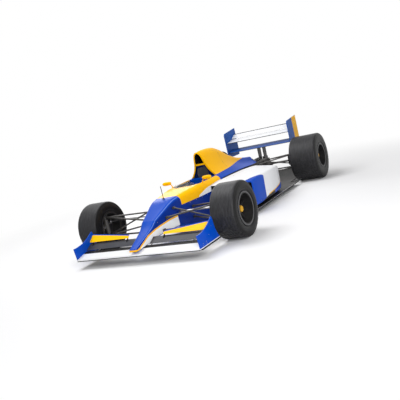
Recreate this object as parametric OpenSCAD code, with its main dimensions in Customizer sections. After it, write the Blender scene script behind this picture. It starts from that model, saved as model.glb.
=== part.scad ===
// Open wheel racing car with a low nose, low side intakes, an overhead air intake and two wings.
// Millimetres. +Z is up, the nose points along -Y and the driver's left is +X.
// The origin lies on the ground, midway along the car's length.

/* [Overall] */
// Distance between the front and rear axles
wheelbase = 2920; // [2450:10:3500]
// Front axle to the leading edge of the front wing
front_overhang = 680; // [670:10:950]
// Rear axle to the back of the rear wing endplates
rear_overhang = 500; // [440:10:600]
// Ground to the underside of the flat floor
ride_height = 45; // [30:1:60]

/* [Wheels] */
// Distance between the middles of the front tyres
front_track = 1800; // [1600:10:2040]
// Distance between the middles of the rear tyres
rear_track = 1620; // [1500:10:1940]
// Front tyre diameter
front_tyre_d = 600; // [560:2:660]
// Front tyre width
front_tyre_w = 290; // [250:5:340]
// Rear tyre diameter
rear_tyre_d = 668; // [600:2:740]
// Rear tyre width
rear_tyre_w = 410; // [340:5:450]
// Rim diameter at the tyre's bead
rim_d = 330; // [300:2:370]
// Depth of the wheel's dish from the outer lip to the spokes
dish_depth = 96; // [60:2:110]
// Spokes in each wheel
spokes = 10; // [5:1:12]

/* [Steering] */
// Front tyre middle to the steering axis
scrub = 65; // [55:1:80]
// Furthest turn of the front wheels to either side, in degrees
steer_lock = 14; // [10:1:18]
// Steering axis to the track rod's end
steer_arm = 88; // [70:1:95]
// Steering wheel diameter
wheel_rim_d = 260; // [220:5:280]

/* [Body] */
// Thickness of the tub's walls
tub_wall = 22; // [15:1:30]
// Thickness of the body panels
panel = 10; // [6:1:14]
// Floor plate thickness
floor_t = 12; // [8:1:20]
// Half the width of the floor
floor_half_w = 700; // [600:10:760]
// Height of the tub's top at the cockpit
cockpit_z = 548; // [520:2:600]
// Height of the air intake's crown
airbox_z = 890; // [850:2:960]
// Height of the side pods where they meet the body
pod_z = 490; // [470:2:500]
// Drop of the side pods' top towards their outer edge
pod_fall = 58; // [30:2:90]
// Front axle to the back of the cockpit opening
cockpit_back = 1100; // [1060:10:1300]
// Length of the cockpit opening
cockpit_len = 560; // [480:10:580]
// Half the width of the cockpit opening
cockpit_half_w = 200; // [180:2:205]

/* [Wings] */
// Half the span of the front wing
front_wing_half = 800; // [660:5:805]
// Half the span of the rear wing
rear_wing_half = 550; // [440:10:570]
// Height of the rear wing endplates' top
rear_wing_z = 975; // [900:5:1050]
// Ground to the underside of the front wing
front_wing_z = 88; // [60:2:110]
// Thickness of the endplates
plate_t = 12; // [8:1:20]

/* [Hidden] */

// Paint and finish colours
blue = [0.02, 0.16, 0.62];
navy = [0.02, 0.07, 0.30];
yellow = [0.98, 0.74, 0.02];
white = [0.93, 0.94, 0.95];
carbon = [0.09, 0.09, 0.10];
rubber = [0.05, 0.05, 0.055];
metal = [0.45, 0.45, 0.46];

// Gaps between pieces
seat_gap = 0.4;    // between fixed pieces that rest on each other
run_gap = 0.1;     // radial clearance of a shaft in its bearing
wheel_gap = 12;    // free space kept round a turning tyre

// Height of everything that stands on the floor
block_foot = ride_height + floor_t + seat_gap;

// Places along the car
car_len = front_overhang + wheelbase + rear_overhang;
front_y = -car_len / 2;
rear_y = car_len / 2;
axle_f = front_y + front_overhang;
axle_r = rear_y - rear_overhang;
axle_fz = front_tyre_d / 2;
axle_rz = rear_tyre_d / 2;

// The engine and gearbox are measured forward from the rear axle, the tub fills what is left.
gearbox_len = 640;
engine_len = 620;
gearbox_y = axle_r - gearbox_len;
engine_y = gearbox_y - engine_len;
tub_y0 = axle_f - 300;
tub_y1 = engine_y - seat_gap;

// Panel joints along the car
cover_y0 = axle_f + 150;
cockpit_y1 = axle_f + cockpit_back;
cockpit_y0 = cockpit_y1 - cockpit_len;
split_z = 405;
pod_y0 = cockpit_y1 - 60;
pod_y1 = axle_r - rear_tyre_d / 2 - 450;

// ---- Curves -------------------------------------------------------------------------------

// A table holds rows [y, value, value, ...]. Between rows the values follow a smooth curve
// that never overshoots them.
function seg(T, y, i = 0) = (i >= len(T) - 2 || y <= T[i + 1][0]) ? i : seg(T, y, i + 1);
function slope(T, i, k) = (T[i + 1][k] - T[i][k]) / (T[i + 1][0] - T[i][0]);
function tangent(T, i, k) =
    i == 0 ? slope(T, 0, k)
    : i == len(T) - 1 ? slope(T, i - 1, k)
    : let (a = slope(T, i - 1, k), b = slope(T, i, k)) a * b <= 0 ? 0 : 2 * a * b / (a + b);
function at(T, y, k) =
    let (
        i = seg(T, y),
        h = T[i + 1][0] - T[i][0],
        t = max(0, min(1, (y - T[i][0]) / h)),
        m0 = tangent(T, i, k) * h,
        m1 = tangent(T, i + 1, k) * h,
        t2 = t * t,
        t3 = t2 * t
    )
    (2 * t3 - 3 * t2 + 1) * T[i][k] + (t3 - 2 * t2 + t) * m0
        + (3 * t2 - 2 * t3) * T[i + 1][k] + (t3 - t2) * m1;
function steps(a, b, n) = [for (i = [0:n]) a + (b - a) * i / n];

function arc(cx, cz, r, a0, a1, n) =
    [for (i = [0:n]) let (a = a0 + (a1 - a0) * i / n) [cx + r * cos(a), cz + r * sin(a)]];

// A ring across the car: half widths w0 below and w1 above, from z0 up to z1, corners r0 and r1.
function ring(w0, w1, z0, z1, r0, r1, n = 5) = concat(
    arc(w0 - r0, z0 + r0, r0, -90, 0, n),
    arc(w1 - r1, z1 - r1, r1, 0, 90, n),
    arc(r1 - w1, z1 - r1, r1, 90, 180, n),
    arc(r0 - w0, z0 + r0, r0, 180, 270, n)
);

// ---- Solids from rings --------------------------------------------------------------------

// A closed solid through rings of 3D points, each ring wholly in sight of its first point.
module skin(rings) {
    n = len(rings[0]);
    m = len(rings);
    function id(i, j) = i * n + j % n;
    polyhedron(
        points = [for (r = rings) each r],
        faces = concat(
            [for (i = [0:m - 2], j = [0:n - 1]) [id(i, j), id(i, j + 1), id(i + 1, j)]],
            [for (i = [0:m - 2], j = [0:n - 1]) [id(i, j + 1), id(i + 1, j + 1), id(i + 1, j)]],
            [for (j = [1:n - 2]) [id(0, 0), id(0, j + 1), id(0, j)]],
            [for (j = [1:n - 2]) [id(m - 1, 0), id(m - 1, j), id(m - 1, j + 1)]]
        )
    );
}

// A panel between an outer and an inner grid of points. A closed panel wraps round on itself,
// an open one has an edge along each side.
module shell(outer, inner, closed = false) {
    n = len(outer[0]);
    m = len(outer);
    last = closed ? n - 1 : n - 2;
    function o(i, j) = i * n + j % n;
    function k(i, j) = m * n + i * n + j % n;
    function quad(a, b, c, d) = [[a, b, c], [a, c, d]];
    polyhedron(
        points = concat([for (r = outer) each r], [for (r = inner) each r]),
        faces = concat(
            [for (i = [0:m - 2], j = [0:last]) each quad(o(i, j), o(i, j + 1), o(i + 1, j + 1), o(i + 1, j))],
            [for (i = [0:m - 2], j = [0:last]) each quad(k(i, j), k(i + 1, j), k(i + 1, j + 1), k(i, j + 1))],
            [for (j = [0:last]) each quad(o(0, j), k(0, j), k(0, j + 1), o(0, j + 1))],
            [for (j = [0:last]) each quad(o(m - 1, j), o(m - 1, j + 1), k(m - 1, j + 1), k(m - 1, j))],
            closed ? [] : [for (i = [0:m - 2]) each quad(o(i, 0), o(i + 1, 0), k(i + 1, 0), k(i, 0))],
            closed ? [] : [for (i = [0:m - 2]) each quad(o(i, n - 1), k(i, n - 1), k(i + 1, n - 1), o(i + 1, n - 1))]
        )
    );
}

// A round bar between two points.
module rod(p, q, r) {
    d = q - p;
    l = norm(d);
    translate(p)
        rotate([0, acos(d[2] / l), atan2(d[1], d[0])])
            cylinder(r = r, h = l, $fn = 32);
}

// A thin slice of the car at y, cut out along a ring.
module slice(y, points) {
    translate([0, y, 0]) rotate([90, 0, 0]) linear_extrude(0.02) polygon(points);
}

// A bar along X whose section is given in (y, z).
module bar_x(x0, x1, points) {
    translate([x0, 0, 0]) rotate([90, 0, 90]) linear_extrude(x1 - x0) polygon(points);
}

module both_sides() {
    children();
    mirror([1, 0, 0]) children();
}

// ---- Tub and its covers -------------------------------------------------------------------

// Rows: y, half width below, half width above, bottom, top, lower corner, upper corner
TUB = [
    [tub_y0, 92, 96, 176, 362, 26, 38],
    [axle_f - 100, 130, 132, 184, 446, 30, 50],
    [axle_f + 30, 162, 160, 182, 500, 34, 56],
    [axle_f + 200, 198, 190, 150, 520, 36, 62],
    [cockpit_y0 - 40, 238, 240, ride_height + 40, cockpit_z - 4, 40, 70],
    [cockpit_y0 + 200, 262, 254, block_foot, cockpit_z, 40, 70],
    [cockpit_y1, 268, 262, block_foot, cockpit_z, 40, 70]
];
function tub_ring(y, t = 0) = ring(
    at(TUB, y, 1) - t, at(TUB, y, 2) - t, at(TUB, y, 3) + t, at(TUB, y, 4) - t,
    max(8, at(TUB, y, 5) - t / 2), max(12, at(TUB, y, 6) - t / 2)
);
// Half width of the tub's side at a place
function tub_x(y, z) =
    let (
        w0 = at(TUB, y, 1), w1 = at(TUB, y, 2),
        a = at(TUB, y, 3) + at(TUB, y, 5), b = at(TUB, y, 4) - at(TUB, y, 6),
        t = max(0, min(1, (z - a) / (b - a)))
    )
    w0 + (w1 - w0) * t;

// The tub's outside and its hollow run straight from each of these sections to the next
outer_ys = steps(tub_y0, cockpit_y1, 16);
hollow_ys = steps(tub_y0 + tub_wall, cockpit_y1 - 20, 14);
function straight(ys, y, k) = lookup(y, [for (s = ys) [s, at(TUB, s, k)]]);

// Height of the tub's top at a place, across its rounded shoulder, and of the floor inside it
function tub_top(y, x = 0) =
    let (r = straight(outer_ys, y, 6), d = max(0, abs(x) - (straight(outer_ys, y, 2) - r)))
    straight(outer_ys, y, 4) - r + sqrt(r * r - d * d);
function tub_floor(y) = straight(hollow_ys, y, 3) + tub_wall;

module tub_loft(ys, t) {
    skin([for (y = ys) [for (p = tub_ring(y, t)) [p[0], y, p[1]]]]);
}

module tub_shell() {
    difference() {
        tub_loft(outer_ys, 0);
        tub_loft(hollow_ys, tub_wall);
    }
}

// What lies above the joint between the tub and its yellow cover
module above_split(grow = 0) {
    translate([-500, cover_y0 - grow, split_z - grow]) cube([1000, cockpit_y1 - cover_y0 + 100, 300]);
}

// The driver's opening, seen from above
module cockpit_hole() {
    nose_r = cockpit_half_w * 0.62;
    tail_r = 60;
    translate([0, 0, split_z - 20])
        linear_extrude(400)
            hull() {
                for (s = [-1, 1]) {
                    translate([s * (cockpit_half_w - nose_r), cockpit_y0 + nose_r]) circle(nose_r, $fn = 40);
                    translate([s * (cockpit_half_w - tail_r), cockpit_y1 - 27 - tail_r]) circle(tail_r, $fn = 32);
                }
            }
}

rack_y = axle_f + steer_arm;
rack_z = axle_fz + 42;
rack_r = 11;
rod_hole_r = rack_r + 7;

module monocoque() {
    color(navy) {
        difference() {
            tub_shell();
            above_split(0);
            cockpit_hole();
            translate([-400, rack_y, rack_z]) rotate([0, 90, 0]) cylinder(r = rod_hole_r, h = 800, $fn = 32);
        }
    }
}

// The tank between the driver's back and the engine
module fuel_cell() {
    w = 236;
    color(navy)
        hull()
            for (y = [cockpit_y1 + seat_gap, tub_y1])
                slice(y, ring(w, w, block_foot, pod_z - 10, 30, 40));
}

// Carries the steering rack across the tub, standing on the tub's floor
module rack_housing() {
    foot = tub_floor(rack_y - 9) + seat_gap;
    half = 80;
    color(metal)
        difference() {
            union() {
                translate([-half, rack_y, rack_z]) rotate([0, 90, 0]) cylinder(r = rack_r + 12, h = 2 * half, $fn = 40);
                translate([-half, rack_y - 9, foot]) cube([2 * half, 18, rack_z - foot]);
            }
            translate([-half - 1, rack_y, rack_z]) rotate([0, 90, 0]) cylinder(r = rack_r + run_gap, h = 2 * half + 2, $fn = 40);
        }
}

module cockpit_cover() {
    color(yellow)
        difference() {
            intersection() {
                tub_shell();
                above_split(-seat_gap / 2);
            }
            cockpit_hole();
        }
}

// Rows as in TUB
NOSE = [
    [front_y + 4, 48, 44, front_wing_z + 52, 168, 5, 8],
    [front_y + 60, 54, 50, front_wing_z + 54, 192, 8, 16],
    [front_y + 190, 66, 66, front_wing_z + 62, 246, 14, 24],
    [front_y + 310, 80, 82, front_wing_z + 78, 304, 20, 30],
    [tub_y0, 92, 96, 176, 362, 26, 38]
];
// The wing's top under the nose
fw_chord = 180;
function wing_top(y) = front_wing_z + 24 + 40 * min(1, (y - front_y) / fw_chord);
function nose_floor(y) = max(at(NOSE, y, 3), wing_top(y) + seat_gap);

module nose_cone() {
    joint = front_y + fw_chord;
    ys = concat(steps(front_y + 4, joint, 8), steps(joint + 22, tub_y0 - seat_gap, 10));
    color(blue)
        skin([
            for (y = ys)
                [for (p = ring(at(NOSE, y, 1), at(NOSE, y, 2), nose_floor(y), at(NOSE, y, 4), at(NOSE, y, 5), at(NOSE, y, 6)))
                    [p[0], y, p[1]]]
        ]);
}

// ---- Engine cover, headrest and pods ------------------------------------------------------

// Rows: share of the length, half width at the foot, half width of the spine, foot, crown
foot_z = pod_z + 6;
ENGINE = [
    [0.00, 252, 74, foot_z, airbox_z - 8],
    [0.08, 252, 78, foot_z, airbox_z],
    [0.24, 246, 76, foot_z - 2, airbox_z - 10],
    [0.34, 240, 72, foot_z - 6, airbox_z - 50],
    [0.53, 222, 62, foot_z - 16, airbox_z - 188],
    [0.70, 190, 52, foot_z - 34, airbox_z - 276],
    [0.85, 150, 44, foot_z - 48, airbox_z - 320],
    [1.00, 106, 36, foot_z - 56, airbox_z - 350]
];
cover_foot_y = cockpit_y1 + seat_gap; // front edge at the feet
cover_mouth_y = cockpit_y1 - 56;      // front edge at the crown
engine_cover_y1 = axle_r - 340;
upright_h = 0.21;                     // height share of the front edge that stands upright, behind the tub
lip = 8;                              // extra thickness round the intake's mouth
function cover_wall(v) = panel + lip * max(0, 1 - v / 0.05);

// A point at angle a round the cover, 0 at its left foot and 90 at its crown
function cover_point(v, a, t) =
    let (
        h = sin(a),
        wb = at(ENGINE, v, 1) - t,
        ws = at(ENGINE, v, 2) - t,
        zb = at(ENGINE, v, 3),
        zt = at(ENGINE, v, 4) - t,
        x = ws * sqrt(max(0, 1 - pow(h, 6))) + (wb - ws) * pow(1 - h, 3),
        y0 = cover_foot_y + (cover_mouth_y - cover_foot_y) * max(0, h - upright_h) / (1 - upright_h)
    )
    [(a > 90 ? -1 : 1) * x, y0 + (engine_cover_y1 - y0) * v, zb + (zt - zb) * h];

mouth_h = 0.59;                       // height share of the intake's lower lip

module engine_cover() {
    vs = concat([0, 0.025, 0.05], steps(0.09, 1, 19));
    as = steps(0, 180, 30);
    duct = concat(steps(asin(mouth_h - 0.03), asin(mouth_h + 0.03), 2), steps(180 - asin(mouth_h + 0.03), 180 - asin(mouth_h - 0.03), 2));
    color(yellow)
        union() {
            shell(
                [for (v = vs) [for (a = as) cover_point(v, a, 0)]],
                [for (v = vs) [for (a = as) cover_point(v, a, cover_wall(v))]]
            );
            // floor of the intake duct
            skin([for (v = steps(0.004, 0.22, 6)) [for (a = duct) cover_point(v, a, cover_wall(v) - 4)]]);
        }
}

// The dark panel behind the driver's head, filling the arch below the intake
module headrest() {
    lip_a = asin(mouth_h - 0.04);
    as = concat(steps(0, 30, 5), [lip_a, 180 - lip_a], steps(150, 180, 5));
    vs = [0.025, 0.05];
    color(navy)
        skin([for (v = vs)
            let (points = [for (a = as) cover_point(v, a, cover_wall(v) + seat_gap + 0.3)])
            concat([[0, points[0][1], points[0][2]]], points)]);
}

// Rows: share of the length, outer edge, drop of the top where it meets the body, outer corner
POD = [
    [0.00, floor_half_w - 14, 20, 30],
    [0.15, floor_half_w - 6, 2, 36],
    [0.50, floor_half_w - 10, 8, 40],
    [0.80, floor_half_w - 40, 24, 44],
    [1.00, floor_half_w - 100, 44, 40]
];
pod_in = 272;                         // the pod's inner wall, just clear of the tub
pod_foot = block_foot;
undercut = 44;
sweep = 300;                          // how far the intake's inner edge leads its outer edge
function pod_ring(v, t) =
    let (
        x0 = pod_in + t, x1 = at(POD, v, 1) - t,
        z0 = pod_foot + t, zi = pod_z - at(POD, v, 2) - t, zo = zi - pod_fall * (1 - 0.3 * v),
        r = max(8, at(POD, v, 3) - t), n = 6
    )
    concat(
        [[x0, z0], [x1 - 96, z0], [x1 - 6, z0 + undercut]],
        arc(x1 - r, zo - r, r, 0, 76, n),
        [[x0, zi]]
    );
function pod_rings(vs, t) =
    [for (v = vs)
        [for (p = pod_ring(v, t))
            [p[0], pod_y0 + (pod_y1 - pod_y0) * v - sweep * pow(1 - v, 3) * (floor_half_w - p[0]) / (floor_half_w - pod_in), p[1]]]];

module sidepod() {
    vs = steps(0, 1, 18);
    color(white) shell(pod_rings(vs, 0), pod_rings(vs, panel), closed = true);
}

// A slanted cooler core in each pod, standing on the pod's floor
module radiators() {
    len_y = 300;
    core = 60;
    lean = 38;
    z0 = pod_foot + panel + seat_gap;
    color(carbon)
        both_sides()
            translate([pod_in + 50, pod_y0 + 260, z0])
                rotate([0, 0, -lean])
                    cube([core, len_y, 250]);
}

// ---- Floor and power unit -----------------------------------------------------------------

floor_y0 = pod_y0 - 70;
tail_half_w = rear_track / 2 - rear_tyre_w / 2 - 40;
diffuser_y = axle_r - 60;
diffuser_end = axle_r + 250;
diffuser_rise = 130;

function diffuser_top(y) =
    ride_height + floor_t + diffuser_rise * max(0, y - diffuser_y) / (diffuser_end - diffuser_y);

module floor_plate() {
    nose_half = 150;
    tyre_front = axle_r - rear_tyre_d / 2 - wheel_gap - 14;
    color(carbon) {
        translate([0, 0, ride_height])
            linear_extrude(floor_t)
                polygon(concat(
                    [[nose_half, floor_y0 - 300], [floor_half_w - 60, floor_y0], [floor_half_w, floor_y0 + 70],
                     [floor_half_w, tyre_front], [tail_half_w, tyre_front + 12], [tail_half_w, diffuser_y]],
                    [[-tail_half_w, diffuser_y], [-tail_half_w, tyre_front + 12], [-floor_half_w, tyre_front],
                     [-floor_half_w, floor_y0 + 70], [-(floor_half_w - 60), floor_y0], [-nose_half, floor_y0 - 300]]
                ));
        bar_x(-tail_half_w, tail_half_w, [
            [diffuser_y - 0.01, ride_height], [diffuser_end, ride_height + diffuser_rise],
            [diffuser_end, ride_height + diffuser_rise + 8], [diffuser_y - 0.01, ride_height + floor_t]
        ]);
        for (x = [-tail_half_w, -140, 132, tail_half_w - 8])
            bar_x(x, x + 8, [
                [diffuser_y, ride_height], [diffuser_end, ride_height + 14],
                [diffuser_end, ride_height + diffuser_rise + 4], [diffuser_y, ride_height + 6]
            ]);
    }
}

engine_half_w = 210;
module engine_block() {
    color(metal)
        translate([-engine_half_w, engine_y, block_foot])
            cube([2 * engine_half_w, engine_len, 380]);
}

box_half_w = 118;
box_z0 = block_foot;
box_z1 = axle_rz + 86;
box_y1 = axle_r + 110;
tail_z = axle_rz - 10;
tow_y = axle_r + 372;
tow_r = 12.5;
tow_t = 20;
socket_r = 14;                        // takes the starter's shaft
socket_z = axle_rz - 70;
output_x = box_half_w + 26;

module gearbox() {
    y0 = gearbox_y + seat_gap;
    color(metal)
        difference() {
            union() {
                bar_x(-box_half_w, box_half_w, [
                    [y0, box_z0 + 30], [diffuser_y, box_z0 + 30], [box_y1, diffuser_top(box_y1) + 30],
                    [box_y1, box_z1], [y0, box_z1]
                ]);
                translate([-180, y0, box_z0]) cube([360, 40, box_z1 - box_z0 + 14]);
                // bearing bosses of the drive outputs
                translate([-output_x, axle_r, axle_rz]) rotate([0, 90, 0]) cylinder(r = 62, h = 2 * output_x, $fn = 48);
                // tail beam with its towing eye
                translate([-38, axle_r + 100, tail_z]) cube([76, 250, 70]);
                translate([-tow_t / 2, axle_r + 340, tail_z + 10]) cube([tow_t, tow_y - axle_r - 340, 50]);
                translate([-tow_t / 2, tow_y, tail_z + 35]) rotate([0, 90, 0]) cylinder(r = 25, h = tow_t, $fn = 40);
            }
            translate([-tow_t, tow_y, tail_z + 35]) rotate([0, 90, 0]) cylinder(r = tow_r, h = 2 * tow_t, $fn = 40);
            translate([0, box_y1 + 1, socket_z]) rotate([90, 0, 0]) cylinder(r = socket_r, h = 41, $fn = 40);
        }
}

// ---- Cockpit ------------------------------------------------------------------------------

seat_y0 = cockpit_y1 - 560;
seat_z = tub_floor(seat_y0 + 160) + seat_gap;
// Side profile of the seat's hollow: (y, z)
SEAT = [
    [seat_y0, seat_z + 36], [seat_y0 + 180, seat_z], [seat_y0 + 330, seat_z + 16], [seat_y0 + 430, seat_z + 110],
    [cockpit_y1 - 76, cockpit_z - 190], [cockpit_y1 - 60, cockpit_z - 90]
];
module seat() {
    t = 12;
    half = 178;
    function side(d) = [for (p = SEAT) [p[0] - d * 0.35, p[1] + d]];
    rows = [for (p = SEAT) steps(-1, 1, 12)];
    function lift(u) = 70 * pow(abs(u), 4);
    color(carbon)
        shell(
            [for (p = SEAT) [for (u = steps(-1, 1, 12)) [-u * half, p[0] - lift(u) * 0.8, p[1] + lift(u) * 0.6]]],
            [for (p = SEAT) [for (u = steps(-1, 1, 12)) [-u * (half - t), p[0] - lift(u) * 0.8 - t * 0.8, p[1] + lift(u) * 0.6 + t]]]
        );
}

column_tilt = 22;                     // degrees that the steering column climbs towards the driver
wheel_y = cockpit_y0 + 96;
wheel_z = cockpit_z - 136;
column_r = 11;
dash_y = cockpit_y0 - 60;
dash_t = 24;

module at_column() {
    translate([0, wheel_y, wheel_z]) rotate([column_tilt, 0, 0]) rotate([-90, 0, 0]) children();
}

module steering_wheel() {
    grip = 13;
    r = wheel_rim_d / 2 - grip;
    color(carbon)
        at_column() {
            rotate_extrude($fn = 72) translate([r, 0]) circle(grip, $fn = 24);
            translate([0, 0, -10]) cylinder(r = 36, h = 20, $fn = 48);
            for (a = [0, 180, 90]) rotate([0, 0, a]) translate([20, -14, -5]) cube([r - 20, 28, 10]);
            translate([0, 0, -(wheel_y - dash_y) - 60]) cylinder(r = column_r, h = wheel_y - dash_y + 56, $fn = 32);
        }
}

// Cross panel that carries the steering column, over the driver's legs
module dash_bulkhead() {
    fit = tub_wall + seat_gap + 0.4;
    w = tub_x(dash_y - dash_t, 262) - fit;
    z0 = 262;
    z1 = at(TUB, dash_y - dash_t, 4) - fit;
    r = max(12, at(TUB, dash_y - dash_t, 6) - tub_wall / 2);
    color(carbon)
        difference() {
            translate([0, dash_y, 0]) rotate([90, 0, 0]) linear_extrude(dash_t)
                polygon(concat(
                    [[-w, z0], [-110, z0], [-80, z0 + 30], [80, z0 + 30], [110, z0], [w, z0]],
                    arc(w - r - 4, z1 - r, r, 0, 90, 5),
                    arc(r + 4 - w, z1 - r, r, 90, 180, 5)
                ));
            at_column() translate([0, 0, -400]) cylinder(r = column_r + run_gap, h = 400, $fn = 32);
        }
}

mirror_x = 290;
mirror_y = cockpit_y0 + 120;
mirror_z = cockpit_z + 50;
module mirrors() {
    stalk_x = cockpit_half_w + 18;
    // the stalk's foot stands on the cover's rounded shoulder
    base_z = tub_top(mirror_y, stalk_x - 4) + seat_gap;
    color(yellow)
        both_sides() {
            translate([mirror_x - 62, mirror_y, mirror_z]) rotate([0, 90, 0]) cylinder(r = 24, h = 124, $fn = 40);
            translate([stalk_x - 4, mirror_y - 12, base_z]) cube([9, 24, 14]);
            rod([stalk_x, mirror_y, base_z + 8], [mirror_x - 48, mirror_y, mirror_z], 6);
        }
}

module windscreen() {
    n = 16;
    t = 4;
    r0 = cockpit_half_w * 0.86;
    h = 46;
    // a point of the screen at angle a, its foot (k = 0) on the cover and its edge (k = 1) above
    function at_angle(a, k, inset) =
        let (
            r = r0 - k * 26 - inset,
            foot = tub_top(cockpit_y0 + 118 - r0 * cos(a), r0 * sin(a)) + seat_gap
        )
        [r * sin(a), cockpit_y0 + 118 - r * cos(a), foot + k * h * cos(a * 0.9)];
    as = steps(-62, 62, n);
    color([0.75, 0.8, 0.85, 0.4])
        shell(
            [for (k = [0, 1]) [for (a = as) at_angle(a, k, 0)]],
            [for (k = [0, 1]) [for (a = as) at_angle(a, k, t)]]
        );
}

antenna_y = axle_f + 90;
module antenna() {
    z0 = tub_top(antenna_y + 14) + seat_gap;
    color(carbon) {
        translate([0, antenna_y, z0]) cylinder(r = 14, h = 10, $fn = 32);
        translate([0, antenna_y, z0 + 9]) cylinder(r = 4, h = 140, $fn = 24);
    }
}

// ---- Front wing ---------------------------------------------------------------------------

fw_in = front_wing_half - plate_t - seat_gap;
// A wing section from its leading edge at (y, z): flat above, bellied below, rising by the angle
function foil(y, z, chord, thick, angle, n = 10) =
    let (
        top = [for (i = [0:n]) let (u = i / n) [u, 0.5 * thick / chord * sqrt(max(0, u * (1 - u))) * 0.25]],
        low = [for (i = [n - 1:-1:1]) let (u = i / n) [u, -thick / chord * 2.2 * sqrt(u) * (1 - u)]]
    )
    [for (p = concat(top, low))
        [y + chord * (p[0] * cos(angle) - p[1] * sin(angle)), z + chord * (p[0] * sin(angle) + p[1] * cos(angle))]];

module front_wing_main() {
    function under(u) = 5 + 26 * sqrt(u) * (1 - u) + 18 * (1 - u);
    color(white)
        bar_x(-fw_in, fw_in, concat(
            [[front_y + 6, wing_top(front_y)], [front_y + fw_chord, wing_top(front_y + fw_chord)]],
            [for (u = [1:-0.125:0]) let (y = front_y + fw_chord * u) [y, wing_top(y) - under(u)]]
        ));
}

// Second element, on each side of the nose, on brackets from the main plane
vane_in = 96;
vane_y = front_y + fw_chord + 2;
vane_z = front_wing_z + 74;
vane_angle = 28;
function vane_top(d) = vane_z + d * tan(vane_angle) + 1;
module front_wing_vanes() {
    color(carbon)
        both_sides() {
            bar_x(vane_in, fw_in, foil(vane_y, vane_z, 108, 10, vane_angle));
            for (x = [vane_in + 24, fw_in - 150])
                bar_x(x, x + 8, [
                    [front_y + 138, wing_top(front_y + 138) + seat_gap],
                    [front_y + fw_chord - 2, wing_top(front_y + fw_chord - 2) + seat_gap],
                    [vane_y + 70, vane_z + 34],
                    [vane_y + 8, vane_z + 1]
                ]);
        }
}

// Upper flap, narrowing from the endplate towards the nose, on brackets from the element below
flap_in = 232;
flap_y = vane_y + 84;
flap_z = vane_z + 66;
module front_wing_flaps() {
    function row(x, chord) = [for (p = foil(flap_y, flap_z, chord, chord * 0.12, 40)) [x, p[0], p[1]]];
    color(yellow)
        both_sides() {
            skin([row(flap_in, 46), row(fw_in, 112)]);
            for (x = [flap_in + 8, fw_in - 60])
                bar_x(x, x + 8, [
                    [vane_y + 54, vane_top(54)], [vane_y + 90, vane_top(90)],
                    [flap_y + 24, flap_z + 18], [flap_y + 2, flap_z + 0.5]
                ]);
        }
}

// How far ahead of the axle the steered tyre reaches at height z, with free space added
function swept(z) =
    norm([front_tyre_w / 2 - scrub, sqrt(pow(front_tyre_d / 2, 2) - pow(axle_fz - z, 2))]) + wheel_gap + 2;
fw_rear = axle_f - swept(axle_fz);
module front_endplate() {
    top = front_wing_z + 150;
    tip = front_wing_z + 248;
    y1 = fw_rear - 20;
    color(blue) {
        // the rear edge follows the tyre, the upper edge climbs to a tip
        bar_x(front_wing_half - plate_t, front_wing_half, concat(
            [[front_y + 14, front_wing_z + 3]],
            [for (z = steps(front_wing_z + 3, axle_fz, 6)) [axle_f - swept(z), z]],
            [[fw_rear - 12, tip]],
            [for (i = [1:8]) let (u = i / 8) [y1 - (y1 - front_y) * u, tip - (tip - top) * (1 - pow(1 - u, 2.4))]]
        ));
        // footplate along the lower edge
        translate([front_wing_half - plate_t - 40, front_y + 50, front_wing_z - 8])
            cube([plate_t + 40, axle_f - swept(front_wing_z - 8) - front_y - 54, 12]);
    }
}

// ---- Rear wing ----------------------------------------------------------------------------

rw_y0 = rear_y - 430;
rw_in = rear_wing_half - plate_t - seat_gap;
beam_z = rear_wing_z - 368;
// A point on the underside of a wing section, a share u along its chord
function belly(y, z, chord, thick, angle, u) =
    let (h = -thick / chord * 2.2 * sqrt(u) * (1 - u))
    [y + chord * (u * cos(angle) - h * sin(angle)), z + chord * (u * sin(angle) + h * cos(angle))];
module rear_wing_main() {
    color(white) bar_x(-rw_in, rw_in, foil(rw_y0 + 46, rear_wing_z - 210, 210, 24, 10));
}
module rear_wing_flap() {
    color(white) bar_x(-rw_in, rw_in, foil(rw_y0 + 244, rear_wing_z - 163, 130, 13, 26));
}
module rear_beam_wing() {
    color(blue) bar_x(-rw_in, rw_in, foil(rw_y0 + 20, beam_z, 190, 22, 12));
}
module rear_endplate() {
    z0 = beam_z - 50;
    color(blue)
        bar_x(rear_wing_half - plate_t, rear_wing_half, [
            [rw_y0, z0], [rw_y0 + 180, z0 - 30], [rear_y - 20, z0 - 30], [rear_y, z0 + 20],
            [rear_y, rear_wing_z], [rw_y0 + 24, rear_wing_z - 44], [rw_y0, rear_wing_z - 74]
        ]);
}

// Two plates from the gearbox tail up to the beam wing, and a rain light on the tail
module rear_wing_mount() {
    color(carbon) {
        both_sides()
            bar_x(38 + seat_gap, 50, concat(
                [[axle_r + 130, tail_z + 6], [axle_r + 230, tail_z + 6]],
                [for (u = [0.9:-0.1:0.2]) belly(rw_y0 + 20, beam_z, 190, 22, 12, u) - [0, seat_gap]]
            ));
        translate([-34, axle_r + 240, tail_z + 70 + seat_gap]) cube([68, 60, 46]);
    }
}

// ---- Suspension ---------------------------------------------------------------------------

king_x = front_track / 2 - scrub;
upper_z = axle_fz + 112;
lower_z = axle_fz - 112;
ball_r = 9;
eye_r = 21;
eye_h = 24;
arm_r = 10;

// A mounting foot just clear of the tub's side, and the bar's end inside it
function foot_x(y, z) = max([for (dy = [-22, 22], dz = [-14, 14]) tub_x(y + dy, z + dz)]) + seat_gap + 0.1;
module tub_foot(y, z) {
    translate([foot_x(y, z), y - 22, z - 14]) cube([14, 44, 28]);
}

// The point a distance short of q on the way from p
function short_of(p, q, gap) = q - (q - p) / norm(q - p) * gap;

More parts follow.
